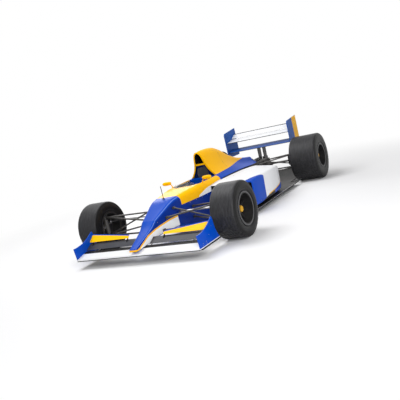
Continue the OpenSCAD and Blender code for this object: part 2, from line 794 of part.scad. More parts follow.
module front_wishbone(z_out, z_in, y_front, y_back) {
    ball = [king_x, axle_f, z_out];
    translate(ball)
        difference() {
            translate([0, 0, -eye_h / 2]) cylinder(r = eye_r, h = eye_h, $fn = 40);
            translate([0, 0, -eye_h]) cylinder(r = ball_r + run_gap, h = 2 * eye_h, $fn = 40);
        }
    for (y = [y_front, y_back]) {
        root = [foot_x(y, z_in) + 7, y, z_in];
        rod(root, short_of(root, ball, ball_r + 5), arm_r);
        tub_foot(y, z_in);
    }
}

module front_wishbones() {
    color(carbon)
        both_sides() {
            front_wishbone(upper_z, upper_z - 72, axle_f - 130, axle_f + 320);
            front_wishbone(lower_z, lower_z + 34, axle_f - 210, axle_f + 300);
            // plate between the lower arms that the pushrod stands on
            translate([push_out_x - 22, axle_f - 42, lower_z - 4]) cube([44, 90, 12]);
        }
}

push_out_x = king_x - 92;
module front_pushrods() {
    z1 = tub_top(axle_f) - 76;
    color(carbon)
        both_sides() {
            rod([foot_x(axle_f, z1) + 7, axle_f, z1], [push_out_x, axle_f, lower_z + 30], 9);
            tub_foot(axle_f, z1);
            translate([push_out_x - 13, axle_f - 12, lower_z + 8 + seat_gap]) cube([26, 24, 30]);
        }
}

// The rack slides across the tub with a track rod at each end. The rod's eye sits loosely round
// the steering arm's pin, so that the pin can follow its arc.
pin_r = 6;
eye_hole_r = 10;
eye_back = steer_arm * (1 - cos(steer_lock)) / 2;
module steering_rack() {
    reach = king_x - eye_hole_r - 2;
    color(metal) {
        translate([-reach, rack_y, rack_z]) rotate([0, 90, 0]) cylinder(r = rack_r, h = 2 * reach, $fn = 40);
        both_sides()
            translate([king_x, rack_y - eye_back, rack_z])
                difference() {
                    translate([0, 0, -9]) cylinder(r = eye_hole_r + 7, h = 18, $fn = 40);
                    translate([0, 0, -20]) cylinder(r = eye_hole_r, h = 40, $fn = 40);
                }
    }
}

stub_r = 24;
disc_t = 28;
disc_x = 34;                          // steering axis to the disc's inner face
module front_upright() {
    body_r = 27;
    h = upper_z - lower_z - eye_h - 2;
    color(metal)
        translate([king_x, axle_f, axle_fz]) {
            translate([0, 0, -h / 2]) cylinder(r = 15, h = h, $fn = 48);
            translate([0, 0, -h / 2 + 18]) cylinder(r = body_r, h = h - 36, $fn = 48);
            translate([0, 0, -h / 2 - eye_h]) cylinder(r = ball_r, h = h + 2 * eye_h, $fn = 40);
            rotate([0, 90, 0]) cylinder(r = 40, h = disc_x - 6, $fn = 48);
            rotate([0, 90, 0]) cylinder(r = stub_r, h = disc_x + 72, $fn = 48);
            // steering arm under the track rod's eye, and the pin in it
            translate([-9, 0, rack_z - axle_fz - 28]) cube([18, steer_arm, 16]);
            translate([0, steer_arm, rack_z - axle_fz - 28]) cylinder(r = 12, h = 16, $fn = 40);
            translate([0, steer_arm, rack_z - axle_fz - 20]) cylinder(r = pin_r, h = 34, $fn = 40);
            // brake caliper ahead of the axle
            translate([-4, -118, -40]) cube([disc_x - 4, 50, 80]);
            translate([-10, -90, -14]) cube([20, 80, 28]);
        }
}

// ---- Wheels -------------------------------------------------------------------------------

bead_gap = 0.4;
function tyre_section(d, w) =
    let (r = d / 2, rb = rim_d / 2 + bead_gap, hw = w / 2, sh = 30)
    let (side = [[rb, 24], [rb + 18, 13], [rb + 40, 3], [(rb + r) / 2 + 4, 0], [r - 44, 2]])
    concat(
        [for (p = side) [p[0], hw - p[1]]],
        arc(r - sh, hw - sh - 4, sh, 60, 0, 4),
        arc(r - sh, -hw + sh + 4, sh, 0, -60, 4),
        [for (i = [len(side) - 1:-1:0]) [side[i][0], side[i][1] - hw]]
    );

// A body of revolution about the X axis, its section given as (radius, x)
module spun(points) {
    rotate([90, 0, 90]) rotate_extrude($fn = 96) polygon(points);
}

module tyre(d, w) {
    color(rubber) spun(tyre_section(d, w));
}

// Wheel with its hub, brake disc and nut. x runs outwards from the tyre's middle.
module rim(w, hub_x0, disc_in, bore_r, bore_x1, disc_r) {
    r = rim_d / 2;
    hw = w / 2;
    bt = 9;
    face = hw - dish_depth;
    color(carbon)
        difference() {
            union() {
                spun([
                    [r - bt, -hw + 6], [r + 14, -hw + 6], [r + 14, -hw + 12], [r, -hw + 18],
                    [r, hw - 18], [r + 14, hw - 12], [r + 14, hw - 6], [r - bt, hw - 6]
                ]);
                spun([[0, hub_x0], [58, hub_x0], [58, face - 10], [46, face + 14], [0, face + 14]]);
                for (i = [0:spokes - 1])
                    rotate([360 / spokes * i, 0, 0]) translate([face - 18, -11, 40]) cube([20, 22, r - bt - 36]);
                spun([[40, disc_in], [disc_r, disc_in], [disc_r, disc_in + disc_t], [40, disc_in + disc_t]]);
                translate([face + 12, 0, 0]) rotate([0, 90, 0]) cylinder(r = 34, h = 26, $fn = 6);
            }
            translate([hub_x0 - 1, 0, 0]) rotate([0, 90, 0]) cylinder(r = bore_r, h = bore_x1 - hub_x0 + 1, $fn = 48);
        }
}

disc_r = 136;
module front_rim() {
    // x is counted from the tyre's middle, so the steering axis lies at -scrub
    rim(front_tyre_w, -scrub + disc_x, -scrub + disc_x, stub_r + run_gap, -scrub + disc_x + 76, disc_r);
}

// ---- Rear corner --------------------------------------------------------------------------

rear_up_x = rear_track / 2 - rear_tyre_w / 2 + 70;   // middle of the upright
spindle_r = 30;
module rear_upright() {
    color(metal)
        translate([rear_up_x, axle_r, axle_rz])
            difference() {
                union() {
                    translate([-22, -34, -118]) cube([44, 68, 236]);
                    rotate([0, 90, 0]) translate([0, 0, -22]) cylinder(r = 62, h = 44, $fn = 48);
                    translate([-18, -112, -36]) cube([36, 60, 72]);
                    translate([-12, -70, -14]) cube([24, 60, 28]);
                }
                rotate([0, 90, 0]) translate([0, 0, -40]) cylinder(r = spindle_r + run_gap, h = 80, $fn = 48);
            }
}

module rear_uprights() {
    both_sides() rear_upright();
}

module rear_rim() {
    mid = rear_track / 2;
    x0 = rear_up_x - mid + 22 + 6;    // clear of the upright's outer face
    rim(rear_tyre_w, x0, x0 + 12, 5, x0 + 6, disc_r);
    color(metal)
        translate([rear_up_x - mid - 26, 0, 0]) rotate([0, 90, 0]) cylinder(r = spindle_r, h = 60, $fn = 48);
}

module rear_wishbone(z_out, z_in, y_front, y_back) {
    x1 = rear_up_x - 22 - seat_gap;
    for (y = [y_front, y_back]) {
        rod([box_half_w + 8, y, z_in], [x1 - 8, axle_r + (y > axle_r ? 14 : -14), z_out], arm_r);
        translate([box_half_w + seat_gap, y - 20, z_in - 14]) cube([14, 40, 28]);
    }
    translate([x1 - 24, axle_r - 30, z_out - 13]) cube([24, 60, 26]);
}

module rear_wishbones() {
    color(carbon)
        both_sides() {
            rear_wishbone(axle_rz + 100, axle_rz + 60, axle_r - 330, axle_r + 84);
            rear_wishbone(axle_rz - 100, axle_rz - 112, axle_r - 340, axle_r + 84);
        }
}

module rear_pushrods() {
    y = axle_r - 90;
    foot = axle_rz - 87 + seat_gap;   // top of the lower wishbone's outer end
    x1 = rear_up_x - 22 - seat_gap;
    color(carbon)
        both_sides() {
            rod([box_half_w + 8, y, box_z1 - 30], [x1 - 12, axle_r, foot + 14], 9);
            translate([box_half_w + seat_gap, y - 16, box_z1 - 46]) cube([16, 32, 32]);
            translate([x1 - 24, axle_r - 14, foot]) cube([24, 28, 26]);
        }
}

module driveshaft() {
    x0 = output_x + 1;
    x1 = rear_up_x - 26 - seat_gap;
    color(metal)
        translate([0, axle_r, axle_rz]) rotate([0, 90, 0]) {
            translate([0, 0, x0]) cylinder(r = 15, h = x1 - x0, $fn = 40);
            translate([0, 0, x0]) cylinder(r1 = 44, r2 = 26, h = 66, $fn = 48);
            translate([0, 0, x1 - 60]) cylinder(r1 = 24, r2 = 40, h = 60, $fn = 48);
        }
}

// ---- Placing the wheels -------------------------------------------------------------------

module front_place() {
    translate([front_track / 2, axle_f, axle_fz]) children();
}
module rear_place() {
    translate([rear_track / 2, axle_r, axle_rz]) children();
}
module right() {
    mirror([1, 0, 0]) children();
}

monocoque();
fuel_cell();
rack_housing();
cockpit_cover();
nose_cone();
engine_cover();
headrest();
sidepod();  // sidepod_left
right() sidepod();  // sidepod_right
radiators();
floor_plate();  // floor
engine_block();
gearbox();
seat();
steering_wheel();
dash_bulkhead();
mirrors();
windscreen();
antenna();
front_wing_main();
front_wing_vanes();
front_wing_flaps();
front_endplate();  // front_endplate_left
right() front_endplate();  // front_endplate_right
rear_wing_main();
rear_wing_flap();
rear_beam_wing();
rear_endplate();  // rear_endplate_left
right() rear_endplate();  // rear_endplate_right
rear_wing_mount();
front_wishbones();
front_pushrods();
steering_rack();
rear_wishbones();
rear_pushrods();
front_upright();  // front_left_upright
right() front_upright();  // front_right_upright
rear_uprights();
front_place() tyre(front_tyre_d, front_tyre_w);  // front_left_tyre
right() front_place() tyre(front_tyre_d, front_tyre_w);  // front_right_tyre
rear_place() tyre(rear_tyre_d, rear_tyre_w);  // rear_left_tyre
right() rear_place() tyre(rear_tyre_d, rear_tyre_w);  // rear_right_tyre
front_place() front_rim();  // front_left_rim
right() front_place() front_rim();  // front_right_rim
rear_place() rear_rim();  // rear_left_rim
right() rear_place() rear_rim();  // rear_right_rim
driveshaft();  // rear_left_driveshaft
right() driveshaft();  // rear_right_driveshaft
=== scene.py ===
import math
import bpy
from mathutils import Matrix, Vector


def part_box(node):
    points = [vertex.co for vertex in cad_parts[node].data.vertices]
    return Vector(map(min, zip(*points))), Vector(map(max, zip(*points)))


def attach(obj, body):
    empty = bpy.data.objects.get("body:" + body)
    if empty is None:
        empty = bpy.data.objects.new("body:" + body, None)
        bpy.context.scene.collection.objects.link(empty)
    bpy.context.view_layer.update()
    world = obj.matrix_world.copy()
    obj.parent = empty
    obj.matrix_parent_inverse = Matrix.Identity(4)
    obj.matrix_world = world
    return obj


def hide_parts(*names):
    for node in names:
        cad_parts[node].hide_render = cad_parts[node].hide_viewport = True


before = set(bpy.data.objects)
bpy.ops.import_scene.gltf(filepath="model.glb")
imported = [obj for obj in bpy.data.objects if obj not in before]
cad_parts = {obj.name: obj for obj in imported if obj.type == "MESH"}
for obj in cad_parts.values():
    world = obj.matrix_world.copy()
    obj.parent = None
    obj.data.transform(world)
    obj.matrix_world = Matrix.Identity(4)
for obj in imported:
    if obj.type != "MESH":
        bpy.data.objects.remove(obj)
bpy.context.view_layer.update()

# %% [markdown]
# # An open wheel racing car
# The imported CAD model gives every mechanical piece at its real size, in metres. This lesson paints
# those pieces and adds what a drawing office leaves to the workshop: tyres with worn treads, the
# pads and belts in the cockpit, exhausts, fasteners and glass. Up is +Z, the nose points along -Y
# and the driver's left is +X.

# %% Tools
from types import SimpleNamespace

import bmesh
import bpy
import numpy as np
from mathutils import Matrix, Vector

# %% [markdown]
# ## Landmarks
# Everything is placed from the frame, so a change in the drawing moves the paint and the details
# with it. The axles come from the tyres' boxes, the nose and tail from the wings.

# %% Landmarks of the car
def middle(node):
    """The centre of a node's box, and its size along each axis."""
    low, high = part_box(node)
    return (low + high) / 2, high - low


FRONT_HUB, FRONT_TYRE = middle("front_left_tyre")
REAR_HUB, REAR_TYRE = middle("rear_left_tyre")
AXLE = FRONT_HUB.y
REAR = REAR_HUB.y
HUBS = {"front": FRONT_HUB, "rear": REAR_HUB}
WHEELS = [(axle, side, way) for side, way in (("left", 1), ("right", -1)) for axle in HUBS]
NOSE_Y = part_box("nose_cone")[0].y
WING_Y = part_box("front_wing_main")[0].y
WING_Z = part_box("front_wing_main")[0].z
print(f"wheelbase {REAR - AXLE:.3f} m, front wing at {WING_Y:.3f} m")

# %% [markdown]
# ## Building with grids
# A racing car is a family of swept surfaces. Each new piece is a grid of points, worked out for all
# its parameters at once, and one function turns the grid into a mesh. Rows can close on themselves,
# as a tube's do, and its two ends can be capped with a fan. Whatever the order of the points, a
# closed piece is turned so that its volume comes out positive, because then its faces point outwards.

# %% From a grid of points to a mesh
def signed_volume(points, quads):
    """Sum of the tetrahedra between the origin and each half of each quad."""
    a, b, c, d = (points[quads[:, k]] for k in range(4))
    return float((np.cross(a, b) * c).sum() + (np.cross(a, c) * d).sum()) / 6


def grid_parts(grid, wrap_u=False):
    """Points and quads of a grid[u, v] whose rows close on themselves. Its last row joins its first
    if wrap_u is set, or else each end is capped by a fan of quads folded to triangles."""
    rows, cols = grid.shape[:2]
    points = grid.reshape(-1, 3)
    index = np.arange(rows * cols).reshape(rows, cols)
    here = index if wrap_u else index[:-1]
    after = np.roll(index, -1, axis=0) if wrap_u else index[1:]
    quads = np.stack([here, np.roll(here, -1, 1), np.roll(after, -1, 1), after], -1).reshape(-1, 4)
    if not wrap_u:
        for row, turn in ((index[0], -1), (index[-1], 1)):
            centre = np.full(cols, len(points))
            points = np.vstack([points, points[row].mean(0)])
            ring = row[::turn]
            quads = np.vstack([quads, np.stack([ring, np.roll(ring, -1), centre, centre], -1)])
    return points, quads


def joined(parts):
    """Several (points, quads) pairs as one, each turned so that its volume is positive."""
    points, quads, count = [], [], 0
    for p, q in parts:
        if signed_volume(p, q) < 0:
            q = q[:, ::-1]
        points.append(p)
        quads.append(q + count)
        count += len(p)
    return np.vstack(points), np.vstack(quads)


def add_object(name, data):
    """A scene object that holds a mesh, a lamp or a camera."""
    thing = bpy.data.objects.new(name, data)
    bpy.context.scene.collection.objects.link(thing)
    return thing


def make_piece(name, parts, material, body="car", sharp=35):
    """One object from (points, quads) pairs, smooth up to the angle sharp, riding on a body."""
    points, quads = joined(parts)
    faces = [tuple(dict.fromkeys(quad)) for quad in quads.tolist()]
    mesh = bpy.data.meshes.new(name)
    mesh.from_pydata(points.tolist(), [], faces)
    mesh.validate()
    mesh.shade_smooth()
    mesh.set_sharp_from_angle(angle=math.radians(sharp))
    mesh.materials.append(material)
    piece = add_object(name, mesh)
    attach(piece, body)
    print(f"{name}: {len(faces)} faces")
    return piece


def mirrored(parts):
    """The same parts and their images on the other side of the car."""
    flip = np.array([-1.0, 1.0, 1.0])
    return list(parts) + [(p * flip, q[:, ::-1]) for p, q in parts]


# %% Directions and circles
def unit(vectors):
    """Vectors cut or stretched to length one."""
    vectors = np.asarray(vectors, float)
    return vectors / np.linalg.norm(vectors, axis=-1, keepdims=True)


def carried(path, up):
    """At each point of a path, the directions across it (square to up) and square to both."""
    along = unit(np.gradient(path, axis=0))
    side = unit(np.cross(along, up))
    return side, np.cross(side, along)


def around(count):
    """Angles at even steps round one turn."""
    return np.linspace(0, 2 * np.pi, count, endpoint=False)


def soft_square(turn, power):
    """The distance to |x|^p + |y|^p = 1 in the direction turn."""
    return 1 / (np.abs(np.cos(turn)) ** power + np.abs(np.sin(turn)) ** power) ** (1 / power)


# %% Profiles carried along paths
def tube(path, radius, sides=16, up=(0.0, 0.0, 1.0)):
    """A circle of the given radius (one number or one per point) carried along a path. Its plane is
    square to the path, and its first direction is square to the path and to up."""
    path = np.asarray(path, float)
    side, other = carried(path, up)
    turn = around(sides)[None, :, None]
    r = np.broadcast_to(np.asarray(radius, float), (len(path),))[:, None, None]
    return grid_parts(path[:, None] + r * (np.cos(turn) * side[:, None] + np.sin(turn) * other[:, None]))


def smooth_path(knots, count=40):
    """A path through the knots, cubic between them with the slope of the neighbours' chord."""
    knots = np.asarray(knots, float)
    slopes = np.gradient(knots, axis=0)
    t = np.linspace(0, len(knots) - 1, count)
    i = np.minimum(t.astype(int), len(knots) - 2)
    u = (t - i)[:, None]
    return ((2 * u**3 - 3 * u**2 + 1) * knots[i] + (u**3 - 2 * u**2 + u) * slopes[i]
            + (3 * u**2 - 2 * u**3) * knots[i + 1] + (u**3 - u**2) * slopes[i + 1])


def spun(profile, hub, sides=96):
    """A closed profile of (distance out from the hub's middle along X, radius) turned about X."""
    x, r = np.asarray(profile, float).T
    turn = around(sides)
    out = np.broadcast_to(hub[0] + x[:, None], (len(x), sides))
    grid = np.stack([out, hub[1] + r[:, None] * np.cos(turn), hub[2] + r[:, None] * np.sin(turn)], -1)
    return grid_parts(grid, wrap_u=True)


def globe(rows, cols):
    """Latitudes down a column and longitudes along a row, without the poles."""
    return np.linspace(-np.pi / 2, np.pi / 2, rows)[1:-1, None], around(cols)[None]


def rounded_bar(low, high, power=6.0, rows=12, cols=24):
    """A box with soft edges: |x|^p + |y|^p + |z|^p = 1, stretched between two corners."""
    low, high = np.asarray(low, float), np.asarray(high, float)
    lat, lon = globe(rows, cols)
    ball = np.stack([np.cos(lat) * np.cos(lon), np.cos(lat) * np.sin(lon), np.sin(lat) + 0 * lon], -1)
    ball /= (np.abs(ball) ** power).sum(-1, keepdims=True) ** (1 / power)
    return grid_parts((low + high) / 2 + ball * (high - low) / 2)


# %% [markdown]
# ## Shading with numbers
# Paint, dust, weave and wear are patterns over the surface, so they are small networks of shader
# nodes. Every pattern reads the object's own coordinates, which are metres in the car's frame. One
# helper places a node and connects it, and arithmetic on its outputs is written as function calls.

# %% Helpers for shader nodes
def feed(node, inputs):
    """Sets a node's inputs: outputs of other nodes are connected, numbers and colours are set."""
    for key, value in inputs.items():
        if isinstance(value, bpy.types.NodeSocket):
            node.id_data.links.new(value, node.inputs[key])
        else:
            node.inputs[key].default_value = value
    return node


def put(tree, kind, inputs=None, **settings):
    """A node of this kind, with its settings and inputs."""
    node = tree.nodes.new("ShaderNode" + kind)
    for key, value in settings.items():
        setattr(node, key, value)
    return feed(node, inputs or {})


def tree_of(*values):
    """The node tree that the first output among the values belongs to."""
    return next(v.id_data for v in values if isinstance(v, bpy.types.NodeSocket))


def calc(operation, *values, clamp=False):
    """The result of one Math node, put in the tree that its values come from."""
    settings = {"operation": operation, "use_clamp": clamp}
    return put(tree_of(*values), "Math", dict(enumerate(values)), **settings).outputs[0]


SOFT_EDGE = 0.0008


def rises(value, edge, soft=SOFT_EDGE):
    """0 where value is below edge and 1 above it, over a width of 2 * soft."""
    return calc("MULTIPLY_ADD", calc("SUBTRACT", value, edge), 0.5 / soft, 0.5, clamp=True)


def falls(value, edge, soft=SOFT_EDGE):
    """1 where value is below edge and 0 above it."""
    return calc("SUBTRACT", 1.0, rises(value, edge, soft))


def band(value, middle, width, soft=SOFT_EDGE):
    """1 within half a width of middle."""
    off = calc("ABSOLUTE", calc("SUBTRACT", value, middle))
    return falls(off, width / 2, soft)


def both(*masks):
    """The overlap of masks."""
    result = masks[0]
    for mask in masks[1:]:
        result = calc("MULTIPLY", result, mask)
    return result


def line(value, points):
    """Straight stretches through (place, height) points, as the stops of a colour ramp. The ramp
    holds heights as shares of their range, so that none is lost to rounding."""
    places = [p for p, h in points]
    heights = [h for p, h in points]
    low, high = min(heights), max(heights) + 1e-6
    tree = tree_of(value)
    span = put(tree, "MapRange", {"Value": value, "From Min": places[0], "From Max": places[-1]})
    ramp = put(tree, "ValToRGB", {"Fac": span.outputs[0]})
    stops = ramp.color_ramp.elements
    for k, (place, height) in enumerate(points):
        where = (place - places[0]) / (places[-1] - places[0])
        stop = stops[0] if k == 0 else stops[-1] if k == len(points) - 1 else stops.new(where)
        stop.position = where
        stop.color = (*[(height - low) / (high - low)] * 3, 1)
    return calc("MULTIPLY_ADD", ramp.outputs["Color"], high - low, low)


def place(tree):
    """The surface's x, |x|, y, z and station s, ny, nz and |nx| of the way its faces look, and out,
    which is nx counted away from the car's middle."""
    coords = put(tree, "TexCoord").outputs
    x, y, z = put(tree, "SeparateXYZ", {0: coords["Object"]}).outputs
    nx, ny, nz = put(tree, "SeparateXYZ", {0: coords["Normal"]}).outputs
    return SimpleNamespace(point=coords["Object"], x=x, y=y, z=z, s=calc("SUBTRACT", y, AXLE),
                           ax=calc("ABSOLUTE", x), ny=ny, nz=nz, nax=calc("ABSOLUTE", nx),
                           out=calc("MULTIPLY", nx, calc("SIGN", x)))


def from_axle(at, hub):
    """The distance from the line through a hub along X."""
    dy, dz = calc("SUBTRACT", at.y, hub.y), calc("SUBTRACT", at.z, hub.z)
    return calc("SQRT", calc("ADD", calc("MULTIPLY", dy, dy), calc("MULTIPLY", dz, dz)))


def colour_or_socket(value):
    """A colour of three numbers gets its fourth. Anything else stays as it is."""
    return (*value, 1) if isinstance(value, tuple) else value


def mixed(base, top, mask):
    """One colour laid over another where the mask is 1. Sockets 6 and 7 are the two colours."""
    colours = {6: colour_or_socket(base), 7: colour_or_socket(top)}
    return put(tree_of(mask), "Mix", {"Factor": mask, **colours}, data_type="RGBA").outputs[2]


def layered(colour, layers, at):
    """Layers of (function of the place giving a mask, colour) laid over a colour in order."""
    for mask_of, top in layers:
        colour = mixed(colour, top, mask_of(at))
    return colour


def blank(name):
    """A new material, its node tree and its Principled shader."""
    material = bpy.data.materials.new(name)
    material.use_nodes = True
    return material, material.node_tree, material.node_tree.nodes["Principled BSDF"]


def relief(strength, depth, height):
    """The normal of a surface with a fine height pattern."""
    inputs = {"Strength": strength, "Distance": depth, "Height": height}
    return put(tree_of(height), "Bump", inputs).outputs[0]


# %% [markdown]
# ### Effects shared by many finishes
# Road dust, the faint ripple of sprayed lacquer, carbon cloth and metal grain turn up on many
# pieces. Each is a node group with its own inputs, so that a material only says how much of it there
# is. A group gives masks and heights. The shader itself stays in the material.

# %% Making a node group
def make_group(name, inputs, outputs):
    """An empty group with number inputs {name: default} and number outputs."""
    group = bpy.data.node_groups.new(name, "ShaderNodeTree")
    for title, default in inputs.items():
        socket = group.interface.new_socket(title, in_out="INPUT", socket_type="NodeSocketFloat")
        socket.default_value = default
    for title in outputs:
        group.interface.new_socket(title, in_out="OUTPUT", socket_type="NodeSocketFloat")
    return group, group.nodes.new("NodeGroupInput").outputs, group.nodes.new("NodeGroupOutput").inputs


def use(tree, group, **values):
    """A group placed in a material."""
    return put(tree, "Group", values, node_tree=group).outputs


# %% Road dust, thick near the ground and broken up by noise
DUST, dust_in, dust_out = make_group("road_dust", {"Amount": 0.3, "Top": 0.5, "Scale": 9.0}, ["Mask"])
spot = put(DUST, "TexCoord").outputs["Object"]
height = put(DUST, "SeparateXYZ", {0: spot}).outputs[2]
cloud = put(DUST, "TexNoise",
            {"Vector": spot, "Scale": dust_in["Scale"], "Detail": 5.0, "Roughness": 0.6})
speck = put(DUST, "TexNoise", {"Vector": spot, "Scale": 420.0, "Detail": 2.0})
low = put(DUST, "MapRange", {"Value": height, "From Min": 0.02, "From Max": dust_in["Top"],
                             "To Min": 1.0, "To Max": 0.12})
patch = put(DUST, "MapRange", {"Value": cloud.outputs["Fac"], "From Min": 0.38, "From Max": 0.72})
grit = calc("MULTIPLY_ADD", speck.outputs["Fac"], 0.7, 0.55)
amount = calc("MULTIPLY", both(low.outputs[0], patch.outputs[0], grit), dust_in["Amount"], clamp=True)
DUST.links.new(amount, dust_out["Mask"])

# %% Ripple of sprayed lacquer, with a slow wave and fine orange peel
PEEL, peel_in, peel_out = make_group("lacquer_ripple", {"Scale": 260.0, "Wave": 0.35}, ["Height"])
spot = put(PEEL, "TexCoord").outputs["Object"]
fine = put(PEEL, "TexNoise", {"Vector": spot, "Scale": peel_in["Scale"], "Detail": 2.0})
slow = put(PEEL, "TexNoise", {"Vector": spot, "Scale": 11.0, "Detail": 1.0})
wave = calc("MULTIPLY_ADD", slow.outputs["Fac"], peel_in["Wave"], fine.outputs["Fac"])
PEEL.links.new(wave, peel_out["Height"])

# %% Stone chips on the surfaces that meet the air
CHIPS, chip_in, chip_out = make_group("stone_chips", {"Amount": 0.5, "Scale": 170.0}, ["Mask"])
spot = put(CHIPS, "TexCoord")
ahead = calc("MULTIPLY", put(CHIPS, "SeparateXYZ", {0: spot.outputs["Normal"]}).outputs[1], -1.0,
             clamp=True)
cell = put(CHIPS, "TexVoronoi", {"Vector": spot.outputs["Object"], "Scale": chip_in["Scale"]})
pick = put(CHIPS, "TexNoise", {"Vector": spot.outputs["Object"], "Scale": 46.0, "Detail": 2.0})
dot = put(CHIPS, "MapRange", {"Value": cell.outputs["Distance"], "From Min": 0.12, "From Max": 0.2,
                              "To Min": 1.0, "To Max": 0.0})
rare = put(CHIPS, "MapRange", {"Value": pick.outputs["Fac"], "From Min": 0.6, "From Max": 0.66})
CHIPS.links.new(both(dot.outputs[0], rare.outputs[0], ahead, chip_in["Amount"]), chip_out["Mask"])

# %% Twill of carbon cloth: each thread passes over two and under two
TWILL, twill_in, twill_out = make_group("carbon_twill", {"Thread": 0.0022}, ["Height", "Tint"])
spot = put(TWILL, "SeparateXYZ", {0: put(TWILL, "TexCoord").outputs["Object"]}).outputs
warp = calc("DIVIDE", calc("ADD", spot[0], spot[2]), twill_in["Thread"])
weft = calc("DIVIDE", calc("ADD", spot[1], calc("MULTIPLY", spot[2], 0.5)), twill_in["Thread"])
step_sum = calc("ADD", calc("FLOOR", warp), calc("FLOOR", weft))
over = calc("LESS_THAN", calc("FLOORED_MODULO", step_sum, 4.0), 2.0)
round_warp = calc("ABSOLUTE", calc("SINE", calc("MULTIPLY", warp, math.pi)))
round_weft = calc("ABSOLUTE", calc("SINE", calc("MULTIPLY", weft, math.pi)))
bulge = calc("ADD", calc("MULTIPLY", over, round_warp),
             calc("MULTIPLY", calc("SUBTRACT", 1.0, over), round_weft))
TWILL.links.new(bulge, twill_out["Height"])
TWILL.links.new(over, twill_out["Tint"])

# %% Grain of cast, brushed or moulded surfaces
GRAIN, grain_in, grain_out = make_group("fine_grain", {"Scale": 300.0, "Stretch": 1.0},
                                        ["Height", "Patch"])
spot = put(GRAIN, "SeparateXYZ", {0: put(GRAIN, "TexCoord").outputs["Object"]}).outputs
drawn = put(GRAIN, "CombineXYZ",
            {0: calc("MULTIPLY", spot[0], grain_in["Stretch"]), 1: spot[1], 2: spot[2]})
fine = put(GRAIN, "TexNoise", {"Vector": drawn.outputs[0], "Scale": grain_in["Scale"], "Detail": 4.0})
broad = put(GRAIN, "TexNoise",
            {"Vector": drawn.outputs[0], "Scale": calc("MULTIPLY", grain_in["Scale"], 0.06),
             "Detail": 3.0})
GRAIN.links.new(fine.outputs["Fac"], grain_out["Height"])
GRAIN.links.new(broad.outputs["Fac"], grain_out["Patch"])
print("effects:", [g.name for g in bpy.data.node_groups])

# %% [markdown]
# ## Colours
# The car wears royal blue, golden yellow and white. Their values are linear, as shaders count light.

# %% The palette
BLUE = (0.000, 0.060, 0.450)
YELLOW = (0.960, 0.490, 0.000)
FLAP_YELLOW = (0.960, 0.540, 0.000)
WHITE = (0.800, 0.810, 0.830)
BLACK = (0.010, 0.010, 0.012)
SLATE = (0.042, 0.044, 0.055)
DUST_COLOUR = (0.235, 0.215, 0.190)
BARE = (0.10, 0.10, 0.105)


# %% [markdown]
# ## Racing paint
# A body panel is carbon laminate, filled, sprayed and clear coated. Its colours are masked areas
# with crisp edges, so a livery is a list of layers, each a mask and a colour, laid over each other
# in order. Over them go chips where grit strikes and a film of dust, and a clear coat shines on top.

# %% One function paints every panel
def dusty(tree, colour, amount):
    """A colour under a film of road dust, and the film's mask."""
    film = use(tree, DUST, Amount=amount)["Mask"]
    return mixed(colour, DUST_COLOUR, film), film


def hollow(at, middle):
    """Faces that look towards the (|x|, z) middle of a hollow, except its ends. They get black painted
    shade.
    """
    away = calc("ADD", calc("MULTIPLY", at.out, calc("SUBTRACT", at.ax, middle[0])),
                calc("MULTIPLY", at.nz, calc("SUBTRACT", at.z, middle[1])))
    side_on = rises(calc("ABSOLUTE", at.ny), 0.9, 0.05)
    return calc("SUBTRACT", falls(away, -0.004, 0.003), side_on, clamp=True)


def paint(name, base, layers=(), dust=0.07, coat=0.04, inside=None):
    """A clear coated finish with layers over a base colour. The walls of a hollow get black painted
    shade, if inside gives its (|x|, z) middle."""
    material, tree, shader = blank(name)
    at = place(tree)
    colour = layered(base, layers, at)
    if inside:
        colour = mixed(colour, BLACK, hollow(at, inside))
    colour = mixed(colour, BARE, use(tree, CHIPS, Amount=0.6)["Mask"])
    colour, film = dusty(tree, colour, dust)
    feed(shader, {"Base Color": colour, "Roughness": calc("MULTIPLY_ADD", film, 0.35, 0.32),
                  "Normal": relief(0.10, 0.0006, use(tree, PEEL)["Height"]),
                  "Coat Weight": coat, "Coat Roughness": 0.05, "Specular IOR Level": 0.06})
    return material


# %% [markdown]
# ## The livery
# Each panel has its own list of layers. Heights are above the ground and s is the station behind the
# front axle, both in metres, so a stripe runs unbroken from the nose cone onto the tub behind it.
# Edges that climb along the car are straight stretches through a few points.

# %% Nose and tub: blue, a white side panel and a yellow pinstripe over it, with painted shade on the sides and a painted highlight along the shoulders
PINSTRIPE = [(-0.67, 0.142), (-0.618, 0.156), (-0.452, 0.237), (-0.327, 0.268), (-0.246, 0.281),
             (-0.082, 0.302), (0.045, 0.308)]
PANEL_END = 0.045


def nose_white(at):
    under = falls(at.z, line(at.s, PINSTRIPE))
    return both(under, falls(at.s, PANEL_END), rises(at.nz, -0.55, 0.05))


def nose_stripe(at):
    on = band(at.z, line(at.s, PINSTRIPE), 0.017)
    return both(on, falls(at.s, PANEL_END), rises(at.nax, 0.18, 0.03))


def nose_tip(at):
    return both(falls(at.s, NOSE_Y - AXLE + 0.012), falls(at.z, 0.159))


def flank(at):
    """Painted shade: the sides, a darker blue than the top."""
    return rises(at.nax, 0.80, 0.10)


def shoulder_highlight(at):
    """A painted highlight: a pale line along the nose's shoulder, where its top turns down into its side.
    """
    faint = calc("MULTIPLY", band(at.nax, 0.60, 0.10, 0.04), 0.55)
    return both(faint, falls(at.s, 0.14, 0.05), rises(at.nz, 0.2))


# The darker blue of the sides is painted shade.
SIDE_SHADE_BLUE = (0.002, 0.026, 0.235)
# The pale blue line is a painted highlight.
HIGHLIGHT_PALE_BLUE = (0.30, 0.42, 0.72)
NOSE = [(flank, SIDE_SHADE_BLUE), (shoulder_highlight, HIGHLIGHT_PALE_BLUE), (nose_white, WHITE), (nose_stripe, YELLOW),
        (nose_tip, YELLOW)]


